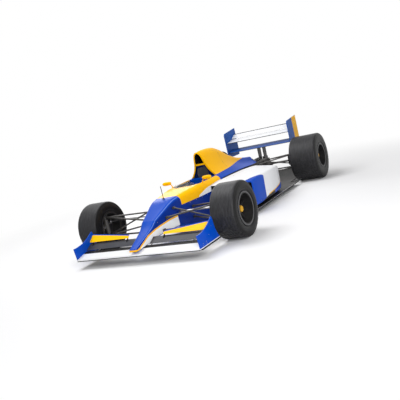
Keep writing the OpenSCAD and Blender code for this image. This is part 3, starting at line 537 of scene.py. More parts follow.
# %% Cockpit cover: yellow, with a white wedge low on its side
WEDGE = [(0.482, 0.424), (0.658, 0.468), (0.942, 0.490), (1.10, 0.494)]


def cover_white(at):
    under = falls(at.z, line(at.s, WEDGE))
    slant = calc("MULTIPLY_ADD", calc("SUBTRACT", at.z, 0.405), -0.9, at.s)
    return both(under, rises(slant, 0.470), rises(at.nax, 0.2, 0.03))


def cover_tail(at):
    return rises(at.s, 1.045)


COVER = [(cover_white, WHITE), (cover_tail, BLUE)]


# %% Engine cover: yellow above a nearly level line, with the intake's inside painted black as shade
SPINE = [(1.033, 0.552), (2.281, 0.575), (2.60, 0.580)]


def spine_blue(at):
    return falls(at.z, line(at.s, SPINE))


def spine_seam(at):
    """The thin dark seam of a lift-off hatch."""
    return both(band(at.s, 1.50, 0.0022), rises(at.z, 0.575))


def duct_floor_shade(at):
    """Painted shade: the floor of the intake behind its lip is painted black. It faces up and so isn't
    caught by the hollow's mask.
    """
    low = both(falls(at.z, COVER_CROWN - 0.105), falls(at.ax, 0.068))
    return both(low, rises(at.nz, 0.3, 0.1), band(at.y, COVER_LIP + 0.24, 0.44), rises(at.z, 0.70))


COVER_LIP, COVER_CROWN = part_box("engine_cover")[0].y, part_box("engine_cover")[1].z
ENGINE = [(spine_blue, BLUE), (spine_seam, (0.10, 0.05, 0.01)), (duct_floor_shade, BLACK)]

# %% Side pods: white top, blue shoulder and side, white at the back over a yellow pinstripe, with black painted shade in the undercut and the inlets
POD_EDGE = [(0.55, 0.30), (0.70, 0.36), (0.82, 0.50), (0.95, 0.575), (1.15, 0.635), (1.37, 0.69),
            (1.5, 0.72)]
SLANT_TOP, SLANT_FOOT = (1.367, 0.441), (1.451, 0.136)
POD_LINE = [(1.40, 0.133), (1.451, 0.136), (1.986, 0.167), (2.2, 0.18)]
POD_FOOT = [(0.70, 0.070), (1.03, 0.075), (1.45, 0.132)]


def pod_blue(at):
    outside = rises(at.ax, line(at.s, POD_EDGE))
    lean = (SLANT_FOOT[0] - SLANT_TOP[0]) / (SLANT_FOOT[1] - SLANT_TOP[1])
    upright = calc("MULTIPLY_ADD", calc("SUBTRACT", at.z, SLANT_TOP[1]), -lean, at.s)
    return both(outside, falls(upright, SLANT_TOP[0]))


def pod_stripe(at):
    on = band(at.z, line(at.s, POD_LINE), 0.013)
    return both(on, rises(at.s, SLANT_FOOT[0] - 0.004), rises(at.ax, 0.5))


def under_stripe(at):
    return falls(at.z, calc("SUBTRACT", line(at.s, POD_LINE), 0.007))


def pod_foot(at):
    """Painted shade: the undercut below the side is painted black."""
    front = both(falls(at.z, line(at.s, POD_FOOT)), falls(at.s, SLANT_FOOT[0]))
    return calc("MAXIMUM", front, both(under_stripe(at), rises(at.s, SLANT_FOOT[0] - 0.001)))


def pod_foot_blue(at):
    return both(under_stripe(at), rises(at.s, 1.685))


POD = [(pod_blue, BLUE), (pod_stripe, YELLOW), (pod_foot, BLACK), (pod_foot_blue, BLUE)]

# %% Wings
REAR_PLATE_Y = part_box("rear_endplate_left")[0].y
PLATE_FOOT, REAR_LEAD = 0.097, 0.765
LEAD_SHADE = (0.004, 0.01, 0.04)


def wing_shade_and_lip(at):
    """Painted shade on the underside and on the strip under the flaps, and a dark line along the lower
    lip of the leading edge.
    """
    below = falls(at.nz, -0.05, 0.05)
    lip = falls(at.z, WING_Z + 0.009)
    back = rises(at.y, WING_Y + 0.122)
    return calc("MAXIMUM", calc("MAXIMUM", below, lip), back)


def below(height):
    """A mask of everything below a height."""
    def mask(at):
        return falls(at.z, height)
    return mask


def plate_line(at):
    return band(at.z, PLATE_FOOT + 0.004, 0.007)


def rear_plate_yellow(at):
    return both(rises(at.out, 0.5, 0.1), rises(at.y, REAR_PLATE_Y + 0.237))


# Painted shade: faces that look down are painted black.
def underside_shade(at):
    return falls(at.nz, -0.12, 0.05)


FLAP_TURN = math.radians(40)


def flap_edge(at):
    """The blue trailing edge, which slants because the flap narrows inwards."""
    along = calc("MULTIPLY_ADD", at.y, math.cos(FLAP_TURN), calc("MULTIPLY", at.z, math.sin(FLAP_TURN)))
    edge = calc("MULTIPLY_ADD", at.ax, FLAP_SLOPE, FLAP_START - 0.013)
    return rises(along, edge)


def far_along(points, x, turn):
    """How far along the chord, which climbs at turn, the last of the points near this |x| lies."""
    near = np.abs(np.abs(points[:, 0]) - x) < 0.012
    return float((points[near, 1] * math.cos(turn) + points[near, 2] * math.sin(turn)).max())


def points_of(node):
    """A CAD node's points as an array."""
    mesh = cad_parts[node].data
    points = np.empty(len(mesh.vertices) * 3)
    mesh.vertices.foreach_get("co", points)
    return points.reshape(-1, 3)


flap_points = points_of("front_wing_flaps")
flap_in, flap_out = np.abs(flap_points[:, 0]).min(), np.abs(flap_points[:, 0]).max()
reach_in, reach_out = (far_along(flap_points, x, FLAP_TURN) for x in (flap_in, flap_out))
FLAP_SLOPE = (reach_out - reach_in) / (flap_out - flap_in)
FLAP_START = reach_in - FLAP_SLOPE * flap_in
# The feet that carry the flap stay black. They hang below its leading edge.
FLAP_FOOT = float(flap_points[np.abs(flap_points[:, 0]) < flap_in + 0.002, 2].min()) - 0.0004
print(f"flap from x {flap_in:.3f} to {flap_out:.3f}, trailing edge slope {FLAP_SLOPE:.3f}")


# %% Every paint
PAINTS = {
    "nose_cone": paint("nose_paint", BLUE, NOSE),
    "monocoque": paint("tub_paint", BLUE, NOSE),
    "cockpit_cover": paint("cover_paint", YELLOW, COVER),
    # The insides of the intake and of the pods' inlets get black painted shade.
    "engine_cover": paint("engine_cover_paint", YELLOW, ENGINE, dust=0.06, inside=(0.0, 0.35)),
    "headrest": paint("headrest_paint", (0.003, 0.016, 0.10), dust=0.05),
    "sidepod_left": paint("pod_paint", WHITE, POD, inside=(0.48, 0.26)),
    "front_wing_main": paint("front_wing_paint", WHITE, [(wing_shade_and_lip, BLACK)], dust=0.06),
    "front_wing_vanes": paint("vane_paint", SLATE, dust=0.08, coat=0.1),
    "front_wing_flaps": paint("flap_paint", FLAP_YELLOW, [(flap_edge, BLUE), (below(FLAP_FOOT), BLACK)],
                              dust=0.04),
    "front_endplate_left": paint("front_plate_paint", BLUE,
                                 [(below(PLATE_FOOT), BLACK), (plate_line, WHITE)]),
    "rear_wing_main": paint("rear_wing_paint", WHITE,
                            [(underside_shade, BLACK), (below(REAR_LEAD), LEAD_SHADE)], dust=0.03),
    "rear_wing_flap": paint("rear_flap_paint", WHITE, [(underside_shade, BLACK)], dust=0.03),
    "rear_beam_wing": paint("beam_paint", (0.010, 0.075, 0.34), [(underside_shade, BLACK)], dust=0.06),
    "rear_endplate_left": paint("rear_plate_paint", (0.012, 0.085, 0.36), [(rear_plate_yellow, YELLOW)],
                                dust=0.03),
    "mirrors": paint("mirror_paint", YELLOW, dust=0.03),
}
PAINTS["sidepod_right"] = PAINTS["sidepod_left"]
PAINTS["front_endplate_right"] = PAINTS["front_endplate_left"]
PAINTS["rear_endplate_right"] = PAINTS["rear_endplate_left"]
print(len(PAINTS), "painted nodes")


# %% [markdown]
# ## Bare materials
# Under the paint a car is carbon cloth in clear resin, rubber, cast and machined metal. Each has one
# function or one short network, with its own scale of detail and its own sheen.

# %% Plain finishes: metal, plastic and rubber with grain, patches and dust
def plain(name, colour, rough=0.45, metallic=0.0, scale=300.0, stretch=1.0, bump=0.15, depth=0.0004,
          vary=0.25, dust=0.2, layers=(), gloss=0.35):
    """A finish whose colour wanders by the share vary and whose surface has a fine grain."""
    material, tree, shader = blank(name)
    grain = use(tree, GRAIN, Scale=scale, Stretch=stretch)
    dark = tuple(c * (1 - vary) for c in colour)
    light = tuple(min(1.0, c * (1 + vary)) for c in colour)
    shade = layered(mixed(dark, light, grain["Patch"]), layers, place(tree))
    shade, film = dusty(tree, shade, dust)
    sheen = calc("MULTIPLY_ADD", grain["Patch"], 0.16, rough - 0.08)
    feed(shader, {"Base Color": shade, "Roughness": calc("MULTIPLY_ADD", film, 0.3, sheen),
                  "Normal": relief(bump, depth, grain["Height"]), "Specular IOR Level": gloss})
    if metallic:
        feed(shader, {"Metallic": calc("MULTIPLY_ADD", film, -0.8 * metallic, metallic)})
    return material


def carbon(name, tint=1.0, dust=0.08):
    """Clear coated carbon twill: threads that lie one way are a shade lighter than those across."""
    material, tree, shader = blank(name)
    weave = use(tree, TWILL)
    dark, light = (tuple(tint * c for c in shade)
                   for shade in ((0.007, 0.007, 0.008), (0.024, 0.024, 0.027)))
    shade, film = dusty(tree, mixed(dark, light, weave["Tint"]), dust)
    feed(shader, {"Base Color": shade, "Roughness": calc("MULTIPLY_ADD", film, 0.4, 0.34),
                  "Normal": relief(0.25, 0.0002, weave["Height"]),
                  "Coat Weight": 0.1, "Coat Roughness": 0.12, "Specular IOR Level": 0.12})
    return material


# %% Bare finishes by name
CARBON = carbon("carbon_twill_clear")
FLOOR_CARBON = carbon("floor_carbon", tint=0.8, dust=0.22)
STEEL = plain("dark_steel_tube", (0.075, 0.072, 0.070), rough=0.42, metallic=0.55, scale=420, bump=0.1)
CAST = plain("cast_magnesium", (0.070, 0.068, 0.066), rough=0.55, metallic=0.45, scale=520, bump=0.45,
             depth=0.0007, dust=0.45)
BLOCK = plain("cast_block", (0.06, 0.06, 0.062), rough=0.6, metallic=0.4, scale=460, bump=0.5,
              depth=0.0008, dust=0.4)
MACHINED = plain("machined_alloy", (0.46, 0.46, 0.47), rough=0.3, metallic=1.0, scale=180, stretch=9.0,
                 bump=0.08, dust=0.2)
FINS = plain("radiator_core", (0.03, 0.03, 0.032), rough=0.55, metallic=0.5, scale=900, stretch=0.05,
             bump=0.9, depth=0.002, dust=0.3)
PLASTIC = plain("black_plastic", (0.012, 0.012, 0.013), rough=0.45, scale=800, bump=0.25, dust=0.15)
BOLT = plain("bright_bolt", (0.26, 0.26, 0.27), rough=0.32, metallic=1.0, scale=500, bump=0.1, dust=0.12)
print("bare finishes:", [m.name for m in (CARBON, STEEL, CAST, BLOCK, MACHINED, FINS, PLASTIC, BOLT)])


# %% [markdown]
# ## Glass and lenses
# The small screen is clear acrylic. Its glass keeps a plain transmission, with only faint scuffs in
# its roughness.

# %% Clear and mirror finishes
def clear(name, colour):
    """Clear acrylic, with faint scuffs in its roughness."""
    material, tree, shader = blank(name)
    grain = use(tree, GRAIN, Scale=900.0, Stretch=1.0)
    feed(shader, {"Base Color": (*colour, 1), "Transmission Weight": 1.0, "IOR": 1.49,
                  "Roughness": calc("MULTIPLY", grain["Patch"], 0.12)})
    return material


SCREEN = clear("clear_acrylic", (0.86, 0.90, 0.94))
MIRROR = plain("mirror_glass", (0.80, 0.82, 0.85), rough=0.12, metallic=1.0, scale=90, bump=0.0,
               vary=0.03, dust=0.05)
LENS = plain("red_lens", (0.55, 0.006, 0.004), rough=0.22, scale=500, bump=0.3, vary=0.1, dust=0.05)


# %% [markdown]
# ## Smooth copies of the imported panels
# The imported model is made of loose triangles. A moulded panel needs joined ones, because only then
# can its shading run smoothly and its edges be rounded. The CAD mesh itself is never changed, so each
# panel is copied, its doubles are welded, and the copy stands for the node. Flat machined plates are
# also cleared of the cuts between coplanar triangles, so that a narrow bevel can catch the light.

# %% A welded copy that stands for a node
def smoothed(node, material, angle=32, bevel=0.0, flat=False):
    """Copies a node, joins its triangles and smooths it up to the angle between faces. A flat one
    loses the cuts between its coplanar triangles, and bevel is the width of its rounded edges."""
    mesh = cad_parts[node].data.copy()
    mesh.name = node + "_skin"
    work = bmesh.new()
    work.from_mesh(mesh)
    bmesh.ops.remove_doubles(work, verts=work.verts, dist=2e-5)
    if flat:
        bmesh.ops.dissolve_limit(work, angle_limit=math.radians(0.6), verts=work.verts, edges=work.edges)
    work.to_mesh(mesh)
    work.free()
    for old in [a.name for a in mesh.attributes if a.name == "custom_normal"]:
        mesh.attributes.remove(mesh.attributes[old])
    mesh.shade_smooth()
    mesh.set_sharp_from_angle(angle=math.radians(angle))
    mesh.materials.clear()
    mesh.materials.append(material)
    piece = add_object(node + "_skin", mesh)
    if bevel:
        edge = piece.modifiers.new("edges", "BEVEL")
        edge.width, edge.segments, edge.limit_method = bevel, 2, "ANGLE"
        edge.angle_limit = math.radians(35)
        edge.harden_normals = False
    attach(piece, "car")
    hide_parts(node)


def give(node, material):
    """A CAD node's own mesh gets a material and is otherwise left alone."""
    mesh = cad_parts[node].data
    mesh.materials.clear()
    mesh.materials.append(material)


LOFTED = ["nose_cone", "monocoque", "cockpit_cover", "engine_cover", "headrest", "sidepod_left",
          "sidepod_right"]
FLAT = ["front_wing_main", "front_wing_vanes", "front_wing_flaps", "front_endplate_left",
        "front_endplate_right", "rear_wing_main", "rear_wing_flap", "rear_beam_wing",
        "rear_endplate_left", "rear_endplate_right"]
for node in LOFTED:
    smoothed(node, PAINTS[node])
for node in FLAT:
    smoothed(node, PAINTS[node], angle=28, bevel=0.0016 if "plate" in node else 0.0, flat=True)
print(len(LOFTED) + len(FLAT), "panels")

# %% Bare nodes: some copied for their soft edges, the rest only finished
BARE_COPIES = {"floor": (FLOOR_CARBON, 0.002), "gearbox": (CAST, 0.003), "engine_block": (BLOCK, 0.006),
               "fuel_cell": (PLASTIC, 0.0), "seat": (CARBON, 0.0), "dash_bulkhead": (CARBON, 0.002),
               "windscreen": (SCREEN, 0.0), "radiators": (FINS, 0.001),
               "rear_wing_mount": (CARBON, 0.001), "rear_uprights": (MACHINED, 0.0),
               "rack_housing": (CAST, 0.0)}
for node, (material, bevel) in BARE_COPIES.items():
    smoothed(node, material, angle=30, bevel=bevel, flat=bevel > 0)
BARE_NODES = {"antenna": PLASTIC, "front_wishbones": STEEL, "front_pushrods": STEEL,
              "rear_wishbones": STEEL, "rear_pushrods": STEEL, "steering_rack": MACHINED,
              "steering_wheel": PLASTIC, "front_left_upright": CAST, "front_right_upright": CAST,
              "rear_left_driveshaft": STEEL, "rear_right_driveshaft": STEEL}
for node, material in BARE_NODES.items():
    give(node, material)
print(len(BARE_COPIES), "copied bare nodes,", len(BARE_NODES), "finished where they are")

# %% [markdown]
# ## Tyres
# A racing slick is a body of revolution: a wide flat tread, round shoulders and bulging walls with a
# few moulded rings. The imported tyre gives the section. Its points are read back as distance along the
# axle and radius, put in order round the section and spun again with many more sides, with the rings
# and a scrubbed tread added. Near the ground the tread is rough with picked up rubber, and painted
# darker there as painted shade. Its grey scrub streaks are also a painted highlight.

# %% Reading a section back from a node
def section_of(node, hub):
    """The ring of (x from the hub, radius) points of a body of revolution, in order of their angle
    about the section's middle."""
    points = points_of(node)
    x = points[:, 0] - hub.x
    radius = np.hypot(points[:, 1] - hub.y, points[:, 2] - hub.z)
    pairs = np.unique(np.round(np.stack([x, radius], -1), 4), axis=0)
    turn = np.arctan2(pairs[:, 1] - (radius.max() + radius.min()) / 2, pairs[:, 0])
    return pairs[np.argsort(turn)]


def dense(section, step=0.0035):
    """The closed section resampled at even steps along its length."""
    ring = np.vstack([section, section[:1]])
    length = np.concatenate([[0], np.cumsum(np.linalg.norm(np.diff(ring, axis=0), axis=1))])
    at = np.linspace(0, length[-1], int(length[-1] / step), endpoint=False)
    return np.stack([np.interp(at, length, ring[:, k]) for k in range(2)], -1)


SECTIONS = {axle: section_of(f"{axle}_left_tyre", hub) for axle, hub in HUBS.items()}
print("points round a section:", {axle: len(section) for axle, section in SECTIONS.items()})


# %% Rubber, scrubbed on the tread with a painted highlight, painted shade low on it, and dull on the walls
def rubber(name, hub, outer):
    """Near black, with grey streaks round the tread that are scrubbed rubber and a painted highlight, and
    painted shade with dark lumps of picked up rubber low on it.
    """
    material, tree, shader = blank(name)
    at = place(tree)
    tread = rises(from_axle(at, hub), outer - 0.010, 0.006)
    angle = calc("ARCTAN2", calc("SUBTRACT", at.z, hub.z), calc("SUBTRACT", at.y, hub.y))
    round_it = put(tree, "CombineXYZ", {0: calc("MULTIPLY", at.x, 60.0), 1: calc("MULTIPLY", angle, 3.0)})
    streak = put(tree, "TexNoise",
                 {"Vector": round_it.outputs[0], "Scale": 1.0, "Detail": 5.0, "Roughness": 0.65})
    grain = use(tree, GRAIN, Scale=260.0, Stretch=1.0)
    far = put(tree, "TexVoronoi", {"Vector": at.point, "Scale": 62.0}).outputs["Distance"]
    low_tread = both(tread, falls(at.z, hub.z - 0.04, 0.14))
    # The grey streaks are scrubbed rubber and also a painted highlight on the tread.
    worn = both(tread, calc("POWER", streak.outputs["Fac"], 1.4))
    shade = mixed((0.0022, 0.0022, 0.0026), (0.078, 0.078, 0.086), worn)
    shade = mixed(shade, (0.014, 0.0138, 0.0135), calc("MULTIPLY", grain["Patch"], 0.5))
    # The tread below the hub is painted darker as shade, broken by lumps of picked up rubber.
    lumps_and_low_shade = both(low_tread, calc("SUBTRACT", 1.0, far))
    shade = mixed(shade, (0.0015, 0.0015, 0.0017), calc("MULTIPLY", lumps_and_low_shade, 0.9))
    height = calc("MULTIPLY_ADD", low_tread, calc("MULTIPLY", far, 2.2),
                  calc("MULTIPLY", grain["Height"], 0.35))
    feed(shader, {"Base Color": shade, "Roughness": calc("MULTIPLY_ADD", tread, 0.02, 0.42),
                  "Normal": relief(0.5, 0.0018, height), "Specular IOR Level": 0.16})
    return material


# %% Picked up rubber: bumps from a sum of waves at fixed angles
WAVES = np.random.default_rng(7).uniform([0.10, 0.0, 0.0], [0.26, np.pi, 2 * np.pi], (14, 3))


def lumps(x, y):
    """How deep the skin lies at (x, y) millimetres: the sum of plane waves, kept where it is positive
    and squashed to 0 to 1, so that smooth pads stand between worn hollows."""
    total = 0
    for number, way, start in WAVES:
        total = total + np.cos(number * (x * np.cos(way) + y * np.sin(way)) + start)
    return np.clip(total / 3.0 + 0.25, 0, 1)


# %% Spinning the tyres, with mould rings on their walls
WALL_RINGS = ((0.20, -0.0022, 0.0030), (0.46, -0.0012, 0.0018), (0.52, -0.0012, 0.0018),
              (0.80, -0.0025, 0.0035))
LUMP_DEPTH = 0.0046


def tyre_piece(name, node, section, hub, body, material, sides=288):
    """The section spun about the axle. Each ring on the walls, (share of the way out, height, width),
    moves the skin along x by a bell curve of the radius. Low on the tread the skin sinks between
    lumps by up to LUMP_DEPTH."""
    x, r = dense(section).T
    half, inner, outer = np.abs(x).max(), r.min(), r.max()
    wall = np.clip((outer - 0.022 - r) / 0.01, 0, 1) * np.clip((r - inner - 0.012) / 0.01, 0, 1)
    push = np.zeros_like(r)
    for share, height, width in WALL_RINGS:
        push += height * np.exp(-((r - inner - share * (outer - inner)) / width) ** 2)
    x = x + np.sign(x) * push * wall * (np.abs(x) > half * 0.6)
    shoulder_ring = np.exp(-((np.abs(x) - (half - 0.030)) / 0.0016) ** 2) * (r > outer - 0.02)
    r = r - 0.0012 * shoulder_ring
    points, quads = spun(np.stack([x, r], -1), hub, sides)
    grid = points.reshape(len(x), sides, 3)
    turn = around(sides)
    tread = np.clip((r - outer + 0.030) / 0.012, 0, 1)[:, None]
    low = np.clip(-np.sin(turn) * 1.6 + 0.25, 0, 1)[None]
    sink = LUMP_DEPTH * tread * low * lumps(x[:, None] * 1000, turn[None] * outer * 1000)
    centre = np.array(hub[1:])
    grid[..., 1:] = centre + (grid[..., 1:] - centre) * (1 - sink / r[:, None])[..., None]
    piece = make_piece(name, [(grid.reshape(-1, 3), quads)], material, body=body, sharp=50)
    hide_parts(node)


RUBBERS = {"front": rubber("front_rubber", FRONT_HUB, FRONT_TYRE.z / 2),
           "rear": rubber("rear_rubber", REAR_HUB, REAR_TYRE.z / 2)}
for axle, side, way in WHEELS:
    here = HUBS[axle] * Vector((way, 1, 1))
    tyre_piece(f"{axle}_{side}_slick", f"{axle}_{side}_tyre", SECTIONS[axle] * (way, 1), here,
               f"{axle}_{side}_wheel", RUBBERS[axle])


# %% [markdown]
# ## Wheels
# The imported rims are right as they are, so they keep their shape and get a dark magnesium finish with
# a lighter lip painted as a highlight and a gold centre nut. Zones are told apart by the distance from
# the axle.

# %% Wheel finish in zones
def wheel_finish(name, hub):
    """Dark magnesium, with a lighter lip outside that is a painted highlight and a gold nut in the
    middle.
    """
    # The lighter lip is a painted highlight.
    def lip(at):
        return both(rises(from_axle(at, hub), 0.1665), rises(at.ax, hub.x))

    def nut(at):
        return both(falls(from_axle(at, hub), 0.0365), rises(at.ax, hub.x + 0.02))

    return plain(name, (0.016, 0.016, 0.017), rough=0.44, metallic=0.2, scale=340, bump=0.2, vary=0.3,
                 dust=0.12, gloss=0.2, layers=[(lip, (0.075, 0.075, 0.08)), (nut, (0.62, 0.33, 0.015))])


for axle, side, way in WHEELS:
    give(f"{axle}_{side}_rim", wheel_finish(f"{axle}_{side}_magnesium", HUBS[axle]))
print("wheels finished")

# %% [markdown]
# ## Mirrors
# The mirrors are small round-ended pods on bent stalks. A pod is a circle whose radius swells quickly
# from each end, carried along X, and the glass is a flat disc let into its back.

# %% Mirror pods, stalks and glass
MIRROR_LOW, MIRROR_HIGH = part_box("mirrors")
POD_R, POD_LENGTH = 0.024, 0.124
STALK_X = 0.2185
pod_in = MIRROR_HIGH.x - POD_LENGTH
pod_mid = np.array([MIRROR_HIGH.x - POD_LENGTH / 2, (MIRROR_LOW.y + MIRROR_HIGH.y) / 2,
                    MIRROR_HIGH.z - POD_R])
share = np.linspace(-1, 1, 41)
swell = (1 - np.abs(share) ** 3.4) ** (1 / 2.6)
pod = tube(pod_mid + share[:, None] * (0.0618, 0, 0), np.maximum(0.0239 * swell, 0.0006), sides=40)
pods = make_piece("mirror_pods", mirrored([pod]), PAINTS["mirrors"], sharp=60)
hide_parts("mirrors")

stalk = tube(smooth_path([(STALK_X, pod_mid[1], MIRROR_LOW.z + 0.001),
                          (STALK_X + 0.003, pod_mid[1], MIRROR_LOW.z + 0.018),
                          (pod_in + 0.012, pod_mid[1], pod_mid[2] - 0.010),
                          (pod_in + 0.03, pod_mid[1], pod_mid[2])], 24), 0.0058, sides=14, up=(0, 1, 0))
foot = rounded_bar((STALK_X - 0.0055, pod_mid[1] - 0.0118, MIRROR_LOW.z),
                   (STALK_X + 0.0045, pod_mid[1] + 0.0118, MIRROR_LOW.z + 0.014))
make_piece("mirror_stalks", mirrored([stalk, foot]), PAINTS["mirrors"], sharp=50)

turn = around(36)
rings, back = np.array([[0.2, 0.0], [0.9, 0.0], [1.0, -0.002]]), 0.0215
glass = pod_mid + np.stack([0.048 * rings[:, :1] * np.cos(turn), back + rings[:, 1:] + 0 * turn,
                            0.013 * rings[:, :1] * np.sin(turn)], -1)
make_piece("mirror_glass", mirrored([grid_parts(glass)]), MIRROR, sharp=30)

# %% [markdown]
# ## The cockpit
# The driver lies on a moulded carbon shell. Five flat belts meet at one buckle, foam pads line the rim
# and the headrest, and the wheel has suede grips, a hub pad and three buttons. A belt is a flat strip
# carried along a path. The pads are crowned closed forms worked out in code, because they are small
# moulded foam pieces in a tight cover and hardly sag.

# %% Strips and pads
STRAP_CORNERS = np.array([[-1, -0.5], [-0.9, -1], [0.9, -1], [1, -0.5], [1, 0.5], [0.9, 1], [-0.9, 1],
                          [-1, 0.5]])


def strap(path, width, thick, across):
    """A flat strip: at each point of the path eight corners, half the width to each side along across
    and half the thickness along the path's own normal."""
    along = unit(np.gradient(path, axis=0))
    side = unit(across - (across * along).sum(1, keepdims=True) * along)
    up = np.cross(along, side)
    a, b = STRAP_CORNERS[None, :, :1], STRAP_CORNERS[None, :, 1:]
    return grid_parts(path[:, None] + a * side[:, None] * width / 2 + b * up[:, None] * thick / 2)


def pad(centre, right, up, size, power=3.2, rows=24, cols=56, seams=0):
    """A crowned pad: |x|^p + |y|^p = 1 in outline, and its thickness falls off as one minus the square
    of the distance from the middle, to a seam round its edge. Seams are narrow channels across it."""
    right, up = unit(right), unit(up)
    out = np.cross(right, up)
    lat, lon = globe(rows, cols)
    reach = np.cos(lat) ** 0.6 * soft_square(lon, power)
    a, b = reach * np.cos(lon), reach * np.sin(lon)
    c = np.sign(np.sin(lat)) * np.abs(np.sin(lat)) ** 0.8 + 0 * lon
    for k in range(seams):
        middle = -1 + 2 * (k + 1) / (seams + 1)
        c = c * (1 - 0.30 * np.exp(-((a - middle) / 0.05) ** 2))
    w, h, t = size
    grid = (np.asarray(centre, float) + a[..., None] * right * w / 2 + b[..., None] * up * h / 2
            + c[..., None] * out * t / 2)
    return grid_parts(grid)


# %% Cloth finishes: webbing ribs, suede and foam cover
def cloth(name, colour, ribs, depth, sheen=0.3):
    """Woven or napped cover. Ribs is how many threads lie in a metre."""
    material, tree, shader = blank(name)
    weave = use(tree, TWILL, Thread=1.0 / ribs)
    grain = use(tree, GRAIN, Scale=700.0, Stretch=1.0)
    dark, light = tuple(c * 0.65 for c in colour), tuple(min(1, c * 1.25) for c in colour)
    pattern = calc("MULTIPLY_ADD", weave["Tint"], 0.5, calc("MULTIPLY", grain["Patch"], 0.5))
    shade, film = dusty(tree, mixed(dark, light, pattern), 0.1)
    feed(shader, {"Base Color": shade, "Roughness": calc("MULTIPLY_ADD", grain["Patch"], 0.1, 0.78),
                  "Normal": relief(0.5, depth, calc("ADD", weave["Height"], grain["Height"])),
                  "Sheen Weight": sheen, "Sheen Roughness": 0.5})
    return material


WEBBING = cloth("belt_webbing", (0.010, 0.040, 0.26), 700.0, 0.0005)
SUEDE = cloth("black_suede", (0.014, 0.014, 0.015), 2600.0, 0.0002, sheen=0.5)
FOAM = cloth("foam_cover", (0.012, 0.013, 0.018), 900.0, 0.0003)

# %% Belts and buckle
BELT_WIDE, BELT_NARROW, BELT_THICK = 0.048, 0.046, 0.0026
BUCKLE, BUCKLE_LEAN = (0, -0.505, 0.120), math.radians(28)
shoulder = [(0.066, -0.352, 0.474), (0.068, -0.366, 0.40), (0.068, -0.386, 0.30), (0.062, -0.425, 0.205),
            (0.040, -0.465, 0.145), (0.012, -0.497, 0.124)]
lap = [(0.150, -0.470, 0.175), (0.112, -0.474, 0.128), (0.060, -0.492, 0.121), (0.018, -0.505, 0.1205)]
crotch = [(0.0, -0.512, 0.121), (0.0, -0.570, 0.102), (0.0, -0.620, 0.097)]
belts = mirrored([strap(smooth_path(shoulder, 60), BELT_WIDE, BELT_THICK, (1, 0, 0)),
                  strap(smooth_path(lap, 36), BELT_NARROW, BELT_THICK, (0, 0.9, 0.4))])
belts.append(strap(smooth_path(crotch, 24), BELT_NARROW, BELT_THICK, (1, 0, 0)))
make_piece("belts", belts, WEBBING, sharp=40)

turn = around(40)
rings = np.array([[0.0295, -0.004], [0.031, 0.0], [0.030, 0.007], [0.024, 0.010], [0.022, 0.0085],
                  [0.010, 0.0085], [0.009, 0.012], [0.002, 0.0125]])
buckle = np.stack([rings[:, :1] * np.cos(turn), rings[:, :1] * np.sin(turn), rings[:, 1:] + 0 * turn], -1)
buckle = buckle @ np.array(Matrix.Rotation(BUCKLE_LEAN, 3, "X")).T + np.array(Vector(BUCKLE))
make_piece("belt_buckle", [grid_parts(buckle)], BOLT, sharp=35)
adjusters = mirrored([rounded_bar((0.043, -0.385, 0.330), (0.093, -0.372, 0.362)),
                      rounded_bar((0.100, -0.492, 0.128), (0.128, -0.446, 0.140))])
make_piece("belt_adjusters", adjusters, BOLT, sharp=40)

# %% Pads on the headrest and along the cockpit's rim
COVER_LOW, COVER_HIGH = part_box("cockpit_cover")
HEADREST_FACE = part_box("headrest")[0].y
RIM_HALF = 0.200
head_pad = pad((0, HEADREST_FACE - 0.010, 0.600), (1, 0, 0), (0, 0, 1), (0.150, 0.150, 0.036), seams=2)
make_piece("headrest_pad", [head_pad], FOAM, sharp=60)
rim_y = np.linspace(-0.790, -0.335, 60)
share = (rim_y - rim_y[0]) / (rim_y[-1] - rim_y[0])
rim_path = np.stack([RIM_HALF - 0.0145 - 0.012 * (2 * share - 1) ** 4, rim_y,
                     0.527 - 0.004 * np.cos(share * 9)], -1)
rim_pad = tube(rim_path, 0.0125 * (1 - np.abs(2 * share - 1) ** 8) + 0.0012, sides=22)
make_piece("cockpit_pads", mirrored([rim_pad]), FOAM, sharp=60)

# %% Steering wheel: suede grips, hub pad and buttons
WHEEL_LEAN = math.radians(22)
WHEEL_AXIS = np.array([0, math.cos(WHEEL_LEAN), math.sin(WHEEL_LEAN)])
WHEEL_UP = np.array([0, -WHEEL_AXIS[2], WHEEL_AXIS[1]])
WHEEL_SIDE = np.array([1.0, 0, 0])
WHEEL_HUB = np.array([0, COVER_LOW.y + 0.486, COVER_HIGH.z - 0.136])
GRIP_R = 0.117
grips = []
for way in (1, -1):
    turns = np.linspace(math.radians(-38), math.radians(38), 48)
    across, rise = way * np.cos(turns)[:, None], np.sin(turns)[:, None]
    arc = WHEEL_HUB + GRIP_R * (across * WHEEL_SIDE + rise * WHEEL_UP)
    ends = 1 - np.abs(np.linspace(-1, 1, 48)) ** 10
    grips.append(tube(arc, 0.0128 + 0.0018 * ends + 0.0004 * np.cos(turns * 60) ** 2, sides=24,
                      up=WHEEL_AXIS))
make_piece("wheel_grips", grips, SUEDE, body="steering_wheel", sharp=60)
hub_pad = pad(WHEEL_HUB + 0.0135 * WHEEL_AXIS, WHEEL_SIDE, WHEEL_UP, (0.086, 0.060, 0.016), power=4.0)
make_piece("wheel_hub_pad", [hub_pad], SUEDE, body="steering_wheel", sharp=60)


def disc(place, axis, rings, radius, height, sides, hint):
    """Rings of (share of the radius, share of the height) about an axis through a place."""
    axis = unit(axis)
    side = unit(np.cross(axis, hint))
    turn = around(sides)[None, :, None]
    ring = np.cos(turn) * side + np.sin(turn) * np.cross(axis, side)
    out, along = rings[:, :1, None] * radius, rings[:, 1:, None] * height
    return grid_parts(np.asarray(place, float) + out * ring + along * axis)


BUTTON = np.array([[1, -0.3], [1, 0.55], [0.86, 0.85], [0.5, 1.0], [0.12, 1.03]])


def button(place, axis, radius, height, sides=20):
    """A domed cap."""
    return disc(place, axis, BUTTON, radius, height, sides, (0.3, 0.2, 0.9))


